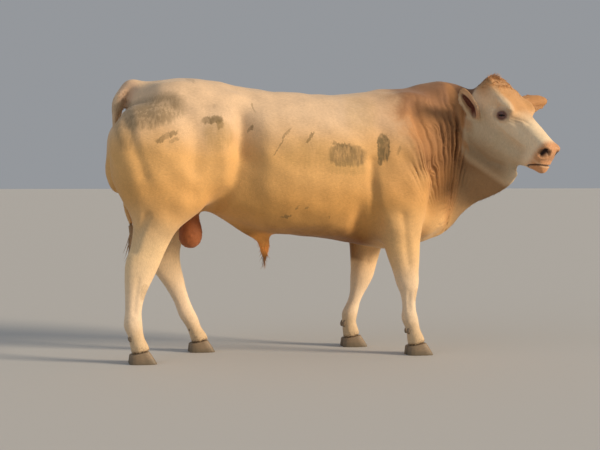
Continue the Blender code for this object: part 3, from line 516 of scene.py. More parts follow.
def makeLids(side):
    bm = bmesh.new()
    rings, innerRings, steps = lidLook["rings"], lidLook["innerRings"], lidLook["steps"]
    loops = [lidLoop(bm, side, k / rings, False) for k in range(rings + 1)]
    loops += [lidLoop(bm, side, 1 - k / innerRings, True) for k in range(innerRings + 1)]
    for one, two in zip(loops, loops[1:] + loops[:1]):
        for k in range(steps):
            bm.faces.new((one[k], one[(k + 1) % steps], two[(k + 1) % steps], two[k]))
    bmesh.ops.recalc_face_normals(bm, faces=bm.faces)
    return bm


def makeEye(side, node):
    bm = bmesh.new()
    radius = eyeLook["radius"]
    bmesh.ops.create_uvsphere(bm, u_segments=48, v_segments=24, radius=radius - 0.0002)
    tall = Matrix.Rotation(math.radians(90), 4, "X")
    bmesh.ops.transform(bm, matrix=eyeFrames[side] @ tall, verts=bm.verts)
    for vert in bm.verts:
        local = eyeFrames[side].inverted() @ vert.co
        bulge = rise(np.array([local.y]), 0.80 * radius, radius)[0]
        vert.co += (vert.co - eyeFrames[side].translation).normalized() * eyeLook["bulge"] * bulge
    piece = joined("eyeball_" + node.split("_")[1], [bm])
    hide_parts(node)
    return piece


lids = joined("lids", [makeLids(1), makeLids(-1)])
eyes = {1: makeEye(1, "eye_left"), -1: makeEye(-1, "eye_right")}
print("eyes and lids made")


# Claws: the horn shoes, rounded and ringed. The soles stay flat on the floor, the dewclaws meet the skin.
clawLook = {"cell": 0.0030, "ring": 0.0075, "depth": 0.00045, "sink": 0.007, "sole": 0.0016, "plain": 0.004}


def makeClaw(node):
    isClaw = node.startswith("claw")
    name = "shoe" + node[4:] if isClaw else "spur" + node[7:]
    piece = makeObject(name, meshOf("shoe", copyOfNodes([node])))
    remesh(piece, clawLook["cell"])
    points = pointsOf(piece.data)
    sole = points[:, 2].min() if isClaw else -1.0
    onSole = points[:, 2] < sole + clawLook["sole"]
    relax(piece.data, np.where(onSole, 0.0, 0.5), 6)
    points, normals = pointsOf(piece.data), normalsOf(piece.data)
    ringWave = np.sin(2 * math.pi * (points[:, 2] + 0.25 * points[:, 0]) / clawLook["ring"])
    upright = (1 - np.abs(normals[:, 2])) * (points[:, 2] > sole + clawLook["plain"])
    points += normals * (clawLook["depth"] * (ringWave - 1) * upright)[:, None]
    points[onSole, 2] = sole
    setPoints(piece.data, points)
    if not isClaw:
        middle = boxMiddle(node)
        toSkin = (skinTree.find_nearest(middle)[0] - middle).normalized()
        setPoints(piece.data, pointsOf(piece.data) + np.array(toSkin) * clawLook["sink"])
    piece.data.shade_smooth()
    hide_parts(node)
    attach(piece, "root")
    return piece


shoes = [makeClaw(name) for name in sorted(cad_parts) if name.startswith(("claw", "dewclaw"))]
print("claws made", sum(len(s.data.polygons) for s in shoes))


# Tufts. One tuft is a thin cone of three sides, cut into rings along its length.
def tuftShape(rings):
    bm = bmesh.new()
    bmesh.ops.create_cone(bm, cap_ends=True, cap_tris=True, segments=3, radius1=1, radius2=0, depth=1)
    for k in range(1, rings):
        everything = bm.verts[:] + bm.edges[:] + bm.faces[:]
        bmesh.ops.bisect_plane(bm, geom=everything, plane_co=(0, 0, k / rings - 0.5), plane_no=(0, 0, 1))
    bmesh.ops.triangulate(bm, faces=bm.faces)
    bmesh.ops.recalc_face_normals(bm, faces=bm.faces)
    along = np.array([v.co.z + 0.5 for v in bm.verts])
    around = np.array([(v.co.x, v.co.y) for v in bm.verts]) / np.maximum(1 - along, 1e-4)[:, None]
    around[along > 0.999] = 0
    faces = np.array([[v.index for v in f.verts] for f in bm.faces])
    bm.free()
    return along, around, faces


shortTuft, shapedTuft, curlTuft, longTuft = (tuftShape(rings) for rings in (1, 2, 4, 6))
# X and Y round which each leg's hair is laid flat
legMiddles = ((0.72, -0.2), (0.62, 0.2), (-0.70, -0.2), (-0.55, 0.2))


# The skin's own shape laid flat: each part's chart is its length against the turn round its middle.
def flatPlace(points):
    body, face = toBody(points), toHead(points)
    x, y, z = body.T
    p, b, q = face.T
    across, up = np.zeros(len(x)), np.zeros(len(x))

    def chart(where, long, ends, one, two, corner, size):
        turn = (np.arctan2(one, two) / (2 * math.pi)) % 1.0
        across[where] = corner[0] + size[0] * np.clip((long[where] - ends[0]) / (ends[1] - ends[0]), 0, 1)
        up[where] = corner[1] + size[1] * turn[where]

    onHead = (x > 1.0) & (p > -0.03) & (q > -0.36)
    onTail = onTailRoot(x, y, 0.06)
    chart(np.ones(len(x), bool), x, (-0.95, 1.50), y, z - 1.10, (0.01, 0.01), (0.98, 0.42))
    chart(onHead, p, (-0.05, 0.68), b, q + 0.13, (0.01, 0.45), (0.30, 0.24))
    chart(onTail, z, (0.30, 1.56), y, x + 0.85, (0.01, 0.92), (0.60, 0.06))
    for k, (legX, legY) in enumerate(legMiddles):
        mine = (z < 0.80) & ~onHead & ~onTail & (y * legY > 0) & (np.abs(x - legX) < 0.26)
        chart(mine, z, (0.0, 0.80), y - legY, x - legX, (0.33 + 0.165 * k, 0.45), (0.155, 0.24))
    bag = (np.hypot(x - bagX, y) < 0.10) & (z < 0.90)
    chart(bag, z, (0.55, 0.92), y, x - bagX, (0.64, 0.92), (0.12, 0.06))
    sheath = (np.abs(x - sheathX) < 0.12) & (np.abs(y) < 0.08) & (z < 0.72)
    chart(sheath, z, (0.40, 0.72), y, x - sheathX, (0.78, 0.92), (0.12, 0.06))
    for side, left in ((1, 0.01), (-1, 0.50)):
        mine = onEars(face) & (b * side > 0)
        chart(mine, np.abs(b), (0.15, 0.42), p - 0.09, q + 0.08, (left, 0.71), (0.47, 0.19))
    return np.stack([across, up], axis=1)


# Many tufts in one mesh: root, outward way, lie, and the size and bend of each.
def placeTufts(name, shape, roots, normals, lie, length, width, lift, curl, tint):
    along, around, faces = shape
    count, corners = len(roots), len(along)
    straight = corners == 4
    lie = unit(lie - normals * np.sum(lie * normals, axis=1, keepdims=True))
    side = np.cross(normals, lie)
    if straight:
        swell = np.where(along > 0.5, 0.0, 1.0)
    else:
        swell = 0.5 + 0.9 * along - 0.2 * along ** 2
        swell = np.where(along > 0.999, 0.0, swell * np.minimum(1.0, 1.6 * (1 - along) + 0.15))
    t = along[None, :, None]
    start = roots - normals * (0.0008 if straight else 0.0022)
    arch = t if straight else 1.3 * t - 0.9 * t ** 2
    length, width = length[:, None, None], width[:, None, None]
    height = lift[:, None, None] * arch * length
    swing = curl[:, None, None] * t ** 2 * length
    wide, deep = ((around[:, k] * swell)[None, :, None] for k in range(2))
    points = (start[:, None, :] + lie[:, None, :] * (t - 0.10) * length
              + side[:, None, :] * (swing + 0.5 * width * wide)
              + normals[:, None, :] * (height + 0.16 * width * deep))
    mesh = bpy.data.meshes.new(name)
    mesh.vertices.add(count * corners)
    mesh.vertices.foreach_set("co", points.astype(np.float32).ravel())
    every = (faces[None] + (np.arange(count) * corners)[:, None, None]).reshape(-1, 3)
    mesh.loops.add(len(every) * 3)
    mesh.polygons.add(len(every))
    mesh.loops.foreach_set("vertex_index", every.astype(np.int32).ravel())
    mesh.polygons.foreach_set("loop_start", np.arange(0, len(every) * 3, 3, dtype=np.int32))
    mesh.update(calc_edges=True)
    mesh.validate()
    tints = mesh.attributes.new("tint", "FLOAT", "POINT")
    tints.data.foreach_set("value", np.repeat(tint, corners).astype(np.float32))
    patch = np.stack([along - 0.5, around[:, 0] * 0.5], axis=1) * 0.003
    flat = (flatPlace(roots)[:, None, :] + patch[None]).reshape(-1, 2)
    layer = mesh.uv_layers.new(name="OFBake")
    layer.data.foreach_set("uv", flat[every.ravel()].astype(np.float32).ravel())
    made = makeObject(name, mesh)
    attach(made, "root")
    return made


# The skin's points, normals and triangles, and each triangle's middle, way out and area.
def skinTriangles():
    mesh = skin.data
    points, normals = pointsOf(mesh), normalsOf(mesh)
    mesh.calc_loop_triangles()
    corners = np.empty(len(mesh.loop_triangles) * 3, np.int32)
    mesh.loop_triangles.foreach_get("vertices", corners)
    corners = corners.reshape(-1, 3)
    a, b, c = (points[corners[:, k]] for k in range(3))
    cross = np.cross(b - a, c - a)
    return points, normals, corners, (a + b + c) / 3, unit(cross), 0.5 * np.linalg.norm(cross, axis=1)


coatLook = {"seed": 5, "perPiece": {"short": 48000, "shaped": 19000}, "density": 0.84, "astray": 0.13,
            "length": (0.65, 1.3), "width": (0.7, 1.3), "lift": (0.5, 1.5), "curl": 0.10, "pollCurl": 0.4,
            "tint": (0.07, 0.28)}
# Regions that keep near tufts in one piece.
trunkRegion, headRegion, legRegion, earRegion = range(4)


# Which way the hair lies, how long, wide and raised it is, and how many tufts grow on a square metre.
def coatPlan(points, normals):
    body, face = toBody(points), toHead(points)
    x, y, z = body.T
    p, b, q = face.T
    flat = np.ones(len(points))
    plan = {"length": 0.0150 * flat, "width": 0.0036 * flat, "lift": 0.12 * flat, "number": 30000 * flat,
            "region": trunkRegion + 0 * flat, "shaped": np.zeros(len(points), bool)}

    def grow(where, **values):
        for key, value in values.items():
            plan[key] = np.where(where, value, plan[key])

    headShare = rise(pastJaw(p, q), -0.03, 0.03) * rise(q, -0.40, -0.34) * (x > 1.0)
    onHead = headShare > 0.5
    onEar = onEars(face)
    onLeg = z < 0.80 - 0.10 * (x > 0.4)
    onTail = onTailRoot(x, y, 0.055) & (z < 1.50)
    lie = np.stack([-flat, 0 * flat, -0.30 - 0.5 * rise(np.abs(normals[:, 1]), 0.2, 0.9)], axis=1)
    lie[:, 2] += 0.5 * rise(-normals[:, 2], 0.2, 0.8)
    lie += 0.30 * np.stack([0 * x, waves(points, 0.5, 41), waves(points, 0.5, 42)], axis=1)
    neckShare = rise(x, 0.72, 1.0) * (1 - headShare)
    lie += neckShare[:, None] * np.array([0.2, 0, -0.55])
    crest = neckShare * rise(z, 1.44, 1.56)
    under = rise(-normals[:, 2], 0.3, 0.8) * (z > 0.5) * (1 - headShare)
    for share, length, width, lift, number in (
            (neckShare, 0.004, -0.0008, 0, 9000), (crest, 0.007, 0, 0.04, 0), (under, 0.005, 0, 0.10, 0)):
        plan["length"] += length * share
        plan["width"] += width * share
        plan["lift"] += lift * share
        plan["number"] += number * share
    # legs, longer behind and over the claws, then tail, bag and sheath
    lie[onLeg] = np.stack([-0.25 * flat, 0.1 * flat * np.sign(y), -1.0 * flat], axis=1)[onLeg]
    lie[onTail] = (0.1, 0, -1)
    behind = rise(-normals[:, 0], 0.3, 0.8)
    fringe = onLeg & (z < 0.112)
    bag = (np.hypot(x - bagX, y) < 0.10) & (z < 0.84)
    sheath = (np.abs(x - sheathX) < 0.10) & (np.abs(y) < 0.07) & (z < 0.70)
    lie[sheath] = (0, 0, -1)
    grow(onLeg, region=legRegion, length=0.011 + 0.006 * behind, width=0.0032, lift=0.15 + 0.08 * behind)
    grow(onLeg, number=36000)
    grow(fringe, length=0.022, number=42000, lift=0.10, shaped=True)
    grow(onTail, length=0.024, number=26000, lift=0.12, shaped=True)
    grow(bag, number=14000, length=0.007, width=0.0022)
    grow(sheath, length=0.020, lift=0.10)
    # the head: shortest on the face, long on the poll, bare on the muzzle and round the eyes
    aside = np.outer(np.sign(b) * rise(np.abs(b), 0.02, 0.1), -headAxes[:, 1])
    lie[onHead] = headAxes[:, 0] - 0.25 * aside[onHead]
    poll = onHead & (p < 0.16) & (np.abs(b) < 0.110) & (q > -0.07)
    forehead = onHead & (p < 0.26) & (np.abs(b) < 0.080) & (normals @ headAxes[:, 2] > 0.3)
    grow(onHead, region=headRegion, length=0.0085, width=0.0023, lift=0.15, number=60000)
    grow(forehead, length=0.018 - 0.030 * np.clip(p - 0.05, 0, 0.25), lift=0.12, shaped=True)
    grow(poll, length=0.024 - 0.05 * np.clip(p, 0, 0.16), width=0.0030, lift=0.20, number=60000, shaped=True)
    grow(onHead & (p > 0.530) & (q > -0.135) & (q < 0.02), number=0)
    grow(onHead & (p > 0.50) & (q <= -0.135), length=0.006)
    eyeGaps = [np.linalg.norm(points - np.array(f.translation), axis=1) for f in eyeFrames.values()]
    eyeGap = np.minimum.reduce(eyeGaps)
    grow(eyeGap < 0.026, number=0)
    grow((eyeGap >= 0.026) & (eyeGap < 0.055), length=0.005)
    for side, way in earWays.items():
        lie[onEar & (b * side > 0)] = headAxes @ np.array(way)
    grow(onEar, region=earRegion, length=0.0065, width=0.0022, lift=0.04, number=45000)
    for inside, along, wide in earParts(face, normals):
        grow((inside > 0.3) & (np.abs(wide + 0.015) < 0.016) & (np.abs(along - 0.120) < 0.085), number=0)
    plan.update(lie=lie, poll=poll, x=x)
    return plan


def growCoat():
    points, normals, corners, middle, faceWay, area = skinTriangles()
    draw = np.random.default_rng(coatLook["seed"])
    mean = area * coatPlan(middle, faceWay)["number"] * coatLook["density"]
    each = np.floor(mean + draw.random(len(mean))).astype(int)
    chosen = np.repeat(np.arange(len(mean)), each)
    one, two = draw.random((2, len(chosen)))
    flip = one + two > 1
    one[flip], two[flip] = 1 - one[flip], 1 - two[flip]
    weights = np.stack([1 - one - two, one, two], axis=1)
    tri = corners[chosen]
    roots = sum(points[tri[:, k]] * weights[:, k, None] for k in range(3))
    out = unit(sum(normals[tri[:, k]] * weights[:, k, None] for k in range(3)))
    plan = coatPlan(roots, out)
    count = len(roots)
    bend = coatLook["curl"] * draw.normal(0, 1, count)
    astray = draw.normal(0, 1, (count, 3)) * (1 + 2.0 * plan["poll"][:, None])
    lie = unit(plan["lie"]) + coatLook["astray"] * astray
    sizes = (plan[key] * draw.uniform(*coatLook[key], count) for key in ("length", "width", "lift"))
    length, width, lift = sizes
    curl = bend + coatLook["pollCurl"] * plan["poll"] * draw.normal(0, 1, count)
    spread, most = coatLook["tint"]
    tint = np.clip(1 + spread * draw.normal(0, 1, count), 1 - most, 1 + most)
    made = []
    for kind, shape, among in (("short", shortTuft, ~plan["shaped"]), ("shaped", shapedTuft, plan["shaped"])):
        members = np.nonzero(among)[0]
        members = members[np.argsort(plan["region"][members] * 100 + plan["x"][members], kind="stable")]
        for start in range(0, len(members), coatLook["perPiece"][kind]):
            pick = members[start:start + coatLook["perPiece"][kind]]
            made.append(placeTufts(f"coat_{len(made) + 1:02d}", shape, roots[pick], out[pick], lie[pick],
                                   length[pick], width[pick], lift[pick], curl[pick], tint[pick]))
    triangles = sum(len(piece.data.polygons) for piece in made)
    print("coat tufts", count, "triangles", triangles, "pieces", len(made))
    return made


coatPieces = growCoat()


# Long hair: the tail's switch, the sheath's tuft, the curls of the poll and the hair in the ears.
lockLook = {
    "switch": {"seed": 9, "count": 620, "length": (0.11, 0.20), "width": (0.004, 0.008), "lift": (0.4, 1.2)},
    "sheath": {"seed": 21, "count": 200, "length": (0.028, 0.060), "width": 0.0028, "lift": 0.2, "curl": 0.1},
    "poll": {"seed": 22, "count": 3400, "length": (0.014, 0.028), "width": 0.0021, "lift": 0.12,
             "curl": 0.24},
    "ear": {"seed": 23, "count": 320, "length": (0.009, 0.020), "width": 0.0016, "lift": 0.12, "curl": 0.2},
}
# The switch's core: X, Z and radius down from the tail.
switchLine = [(-0.792, 0.745, 0.015), (-0.784, 0.700, 0.018), (-0.774, 0.620, 0.021), (-0.768, 0.540, 0.020),
              (-0.764, 0.460, 0.014), (-0.762, 0.410, 0.006)]


# A smooth rope of varying thickness along points.
def rope(points, radii, sides):
    curve = bpy.data.curves.new("rope", "CURVE")
    curve.dimensions = "3D"
    curve.bevel_depth = 1.0
    curve.bevel_resolution = sides
    curve.use_fill_caps = True
    spline = curve.splines.new("POLY")
    spline.points.add(len(points) - 1)
    for point, place, radius in zip(spline.points, points, radii):
        point.co = (*place, 1)
        point.radius = radius
    made = makeObject("rope", curve)
    graph = bpy.context.evaluated_depsgraph_get()
    mesh = bpy.data.meshes.new_from_object(made.evaluated_get(graph))
    bpy.data.objects.remove(made)
    bm = bmesh.new()
    bm.from_mesh(mesh)
    bmesh.ops.remove_doubles(bm, verts=bm.verts, dist=1e-5)
    bmesh.ops.recalc_face_normals(bm, faces=bm.faces)
    return bm


def makeSwitch():
    look = lockLook["switch"]
    draw = np.random.default_rng(look["seed"])
    count = look["count"]
    line = [Vector((x, 0.0, z)) + shift for x, z, _ in switchLine]
    for point in line:
        point.y = boxMiddle("tail_switch").y
    sizes = [radius for _, _, radius in switchLine]
    core = joined("switch_core", [rope(line, sizes, 4)])
    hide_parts("tail_switch")
    share = draw.uniform(0.0, 0.86, count) ** 0.9
    path, sizes = np.array(line), np.array(sizes)
    steps = share * (len(path) - 1)
    below = np.minimum(steps.astype(int), len(path) - 2)
    part = steps - below
    centre = path[below] * (1 - part[:, None]) + path[below + 1] * part[:, None]
    radius = sizes[below] * (1 - part) + sizes[below + 1] * part
    turn = draw.uniform(0, 2 * math.pi, count)
    out = np.stack([np.cos(turn), np.sin(turn), np.zeros(count)], axis=1)
    roots = centre + out * (radius * 0.75)[:, None]
    lie = np.array([0.03, 0.0, -1.0]) + 0.06 * draw.normal(0, 1, (count, 3))
    room = np.maximum(centre[:, 2] - (path[-1, 2] - 0.030), 0.03)
    length = np.minimum(draw.uniform(*look["length"], count), room)
    lift = 0.20 * np.sin(math.pi * np.clip(share * 1.1, 0, 1)) * draw.uniform(*look["lift"], count)
    width = draw.uniform(*look["width"], count)
    curl = draw.normal(0, 0.10, count)
    tint = 1 + 0.14 * draw.normal(0, 1, count)
    return core, placeTufts("switch_hair", longTuft, roots, out, lie, length, width, lift, curl, tint)


# Hair on the skin: here gives how likely it grows at a place, lieOf its way.
def hairOn(kind, here, lieOf, shape):
    look = lockLook[kind]
    count = look["count"]
    _, normals, corners, middle, faceWay, area = skinTriangles()
    draw = np.random.default_rng(look["seed"])
    chance = area * here(middle, faceWay)
    chosen = draw.choice(len(middle), size=count, p=chance / chance.sum())
    roots, out = middle[chosen], unit(normals[corners[chosen]].mean(axis=1))
    lie = lieOf(roots) + 0.25 * draw.normal(0, 1, (count, 3))
    length = draw.uniform(*look["length"], count)
    lift = look["lift"] * np.ones(count)
    if kind == "poll":
        p, b, _ = toHead(roots).T
        peak = bell((p + 0.012) / 0.022, b / 0.030)
        length, lift = length * (1 + 0.7 * peak), lift + 0.95 * peak
    # these long hairs are painted brighter than the coat, as painted light against their own shading
    tint = np.clip(1.25 + 0.13 * draw.normal(0, 1, count), 0.9, 1.6)
    width = look["width"] * draw.uniform(0.7, 1.3, count)
    lift = lift * draw.uniform(0.4, 1.5, count)
    curl = look["curl"] * draw.normal(0, 1, count)
    return placeTufts(f"{kind}_hair", shape, roots, out, lie, length, width, lift, curl, tint)


def pollHere(points, normals):
    p, b, q = toHead(points).T
    top = rise(-p, -0.21, -0.02) * rise(-np.abs(b), -0.115, -0.06)
    return top * rise(q, -0.12, -0.03) * rise(p, -0.09, -0.03) + 1e-9


def pollLie(points):
    p, b, _ = toHead(points).T
    ways = [(0.9 + 0 * p, 0), (3.0 * b, 1), (-0.2 + 0 * p, 2)]
    return sum(np.outer(amount, headAxes[:, k]) for amount, k in ways)


def sheathHere(points, normals):
    x, y, z = toBody(points).T
    return (np.abs(x - sheathX) < 0.09) * (np.abs(y) < 0.06) * rise(-z, -0.680, -0.62) + 1e-9


def sheathLie(points):
    return np.tile((-0.1, 0.0, -1.0), (len(points), 1))


def earHere(points, normals):
    face = toHead(points)
    total = np.full(len(points), 1e-9)
    for side, facing in earFacing.items():
        inside = rise(normals @ (headAxes @ direction(facing)), -0.2, 0.4)
        total += onEars(face) * (face[:, 1] * side > 0) * (0.2 + inside)
    return total


def earLie(points):
    face = toHead(points)
    lie = np.zeros((len(points), 3))
    for side, way in earWays.items():
        lie[face[:, 1] * side > 0] = headAxes @ direction(way)
    return lie


switchCore, switchHair = makeSwitch()
sheathHair = hairOn("sheath", sheathHere, sheathLie, longTuft)
pollHair = hairOn("poll", pollHere, pollLie, curlTuft)
earHair = hairOn("ear", earHere, earLie, curlTuft)
print("long hair made")


# Materials. A wire is a socket that can stand in sums; every sum adds its Math nodes.
class Wire:
    def __init__(self, finish, socket):
        self.finish, self.socket = finish, socket

    def __add__(self, other):
        return self.finish.sum("ADD", self, other)

    def __sub__(self, other):
        return self.finish.sum("SUBTRACT", self, other)

    def __rsub__(self, other):
        return self.finish.sum("SUBTRACT", other, self)

    def __mul__(self, other):
        return self.finish.sum("MULTIPLY", self, other)

    def __truediv__(self, other):
        return self.finish.sum("DIVIDE", self, other)

    def __pow__(self, other):
        return self.finish.sum("POWER", self, other)

    __radd__, __rmul__ = __add__, __mul__


class Finish:
    def __init__(self, name, fixed):
        self.material = bpy.data.materials.new(name)
        self.material.use_nodes = True
        self.tree = self.material.node_tree
        self.shader = self.tree.nodes["Principled BSDF"]
        for key, value in fixed.items():
            self.shader.inputs[key].default_value = value

    def node(self, kind, settings=None, inputs=None, out=0):
        made = self.tree.nodes.new(kind)
        for key, value in (settings or {}).items():
            setattr(made, key, value)
        for key, value in (inputs or {}).items():
            if isinstance(value, Wire):
                self.tree.links.new(value.socket, made.inputs[key])
            else:
                made.inputs[key].default_value = value
        return Wire(self, made.outputs[out])

    def sum(self, operation, *values):
        return self.node("ShaderNodeMath", {"operation": operation}, dict(enumerate(values)))

    def rise(self, value, low, high):
        return self.node("ShaderNodeMapRange", {"interpolation_type": "SMOOTHSTEP"},
                         {"Value": value, "From Min": low, "From Max": high})

    def vector(self, operation, one, two, out=0):
        return self.node("ShaderNodeVectorMath", {"operation": operation}, {0: one, 1: two}, out)

    def dot(self, one, two):
        return self.vector("DOT_PRODUCT", one, tuple(two), 1)

    def away(self, one, two):
        return self.vector("DISTANCE", one, tuple(two), 1)

    def parts(self, wire):
        first = self.node("ShaderNodeSeparateXYZ", None, {0: wire})
        return [Wire(self, socket) for socket in first.socket.node.outputs]

    def place(self):
        return self.node("ShaderNodeTexCoord", out=3)

    def layer(self, name):
        return self.node("ShaderNodeAttribute", {"attribute_name": name}, out=2)

    def toned(self, colour, tone):
        grey = self.node("ShaderNodeCombineColor", None, {0: tone, 1: tone, 2: tone})
        return self.mix(1.0, colour, grey, "MULTIPLY")

    def noise(self, place, scale, detail=3.0, rough=0.55):
        inputs = {"Vector": place, "Scale": scale, "Detail": detail, "Roughness": rough}
        return self.node("ShaderNodeTexNoise", None, inputs)

    def grain(self, place, sizes, detail=2.0):
        return self.noise(self.vector("MULTIPLY", place, sizes), 1.0, detail)

    def mix(self, share, one, two, way="MIX"):
        return self.node("ShaderNodeMix", {"data_type": "RGBA", "blend_type": way},
                         {0: share, 6: one, 7: two}, 2)

    def feed(self, name, wire):
        self.tree.links.new(wire.socket, self.shader.inputs[name])

    def bump(self, height, distance, strength=1.0, under=None):
        inputs = {"Height": height, "Distance": distance, "Strength": strength}
        if under:
            inputs["Normal"] = under
        return self.node("ShaderNodeBump", None, inputs)


def rgb(red, green, blue):
    return (red, green, blue, 1.0)


# Dirt on the near side: X and Z, half length and height, turn in degrees, strength, softness, ochre or not.
dirtMarks = [
    (-0.690, 1.365, 0.150, 0.080, 16, 0.66, 0.85, 0), (-0.850, 1.400, 0.060, 0.030, 30, 0.55, 0.80, 0),
    (-0.640, 1.226, 0.066, 0.016, 24, 0.66, 0.50, 0), (-0.600, 1.205, 0.030, 0.010, 24, 0.50, 0.50, 0),
    (-0.385, 1.318, 0.058, 0.020, 8, 0.80, 0.60, 0), (-0.345, 1.300, 0.020, 0.026, 0, 0.60, 0.60, 0),
    (-0.350, 1.235, 0.080, 0.072, 20, 0.42, 0.80, 1), (-0.850, 1.265, 0.050, 0.100, 0, 0.45, 0.90, 0),
    (-0.650, 1.545, 0.030, 0.012, 0, 0.30, 0.60, 0), (-0.480, 1.545, 0.020, 0.016, 0, 0.28, 0.60, 0),
    (-0.150, 1.390, 0.005, 0.026, 12, 0.45, 0.50, 0), (-0.170, 1.278, 0.008, 0.026, -24, 0.75, 0.50, 0),
    (0.020, 1.250, 0.008, 0.036, -45, 0.70, 0.50, 0), (-0.030, 1.175, 0.004, 0.060, -32, 0.55, 0.60, 0),
    (0.150, 1.232, 0.009, 0.040, -42, 0.70, 0.50, 0), (0.360, 1.132, 0.108, 0.060, -4, 0.76, 0.40, 0),
    (0.330, 1.190, 0.060, 0.008, -14, 0.62, 0.50, 0), (0.355, 1.062, 0.110, 0.035, -4, 0.42, 0.80, 1),
    (0.130, 1.150, 0.140, 0.080, 0, 0.34, 0.90, 1), (0.576, 1.176, 0.034, 0.080, -3, 0.92, 0.30, 0),
    # The first mark on the next line lays a soft ochre tone high behind the shoulder, darkening the coat
    # there.
    (0.470, 1.370, 0.090, 0.110, -10, 0.26, 0.90, 1), (0.558, 1.100, 0.014, 0.022, -20, 0.80, 0.40, 0),
    (0.665, 1.160, 0.010, 0.030, -20, 0.35, 0.60, 0),
    (0.030, 0.796, 0.030, 0.008, 8, 0.60, 0.50, 0), (0.085, 0.846, 0.010, 0.006, 0, 0.50, 0.50, 0),
    (0.140, 0.843, 0.009, 0.006, 0, 0.50, 0.50, 0), (0.270, 0.791, 0.009, 0.006, 0, 0.50, 0.50, 0),
    (0.800, 0.346, 0.024, 0.034, 0, 0.35, 0.80, 1), (-0.745, 0.386, 0.022, 0.045, 0, 0.35, 0.80, 0),
]
# Some tones stand for light: the dark underside, cheeks, throat, ear slit, holes and folds are painted shade,
# the dark round the eyes is lid skin with painted shade, and the pale face, warm forehead and bright sheath
# are partly painted light.
coatColours = {
    "top": rgb(0.700, 0.495, 0.315), "side": rgb(0.690, 0.395, 0.145), "low": rgb(0.640, 0.330, 0.095),
    "bellyShade": rgb(0.215, 0.076, 0.012), "leg": rgb(0.790, 0.560, 0.310),
    "foreleg": rgb(0.740, 0.460, 0.205), "foot": rgb(0.790, 0.600, 0.410),
    "neck": rgb(0.230, 0.098, 0.040), "neckPale": rgb(0.420, 0.185, 0.058),
    "throat": rgb(0.300, 0.190, 0.095),
    "poll": rgb(0.540, 0.290, 0.125), "browLight": rgb(0.520, 0.240, 0.066), "face": rgb(0.800, 0.620, 0.410),
    "cheekShade": rgb(0.480, 0.365, 0.225), "muzzle": rgb(0.630, 0.310, 0.140),
    "earSlitShade": rgb(0.120, 0.030, 0.016),
    "earWall": rgb(0.560, 0.290, 0.140), "earBack": rgb(0.460, 0.215, 0.078), "bag": rgb(0.360, 0.115, 0.038),
    "sheath": rgb(0.860, 0.380, 0.090), "dirt": rgb(0.165, 0.112, 0.045), "ochre": rgb(0.400, 0.250, 0.085),
    "lid": rgb(0.125, 0.054, 0.048), "hole": rgb(0.030, 0.009, 0.006), "paintedShade": rgb(0.100, 0.042, 0.018),
    "pink": rgb(0.560, 0.280, 0.220),
}


coatGloss = {"Roughness": 0.62, "Specular IOR Level": 0.28, "Sheen Weight": 0.12, "Sheen Roughness": 0.45}


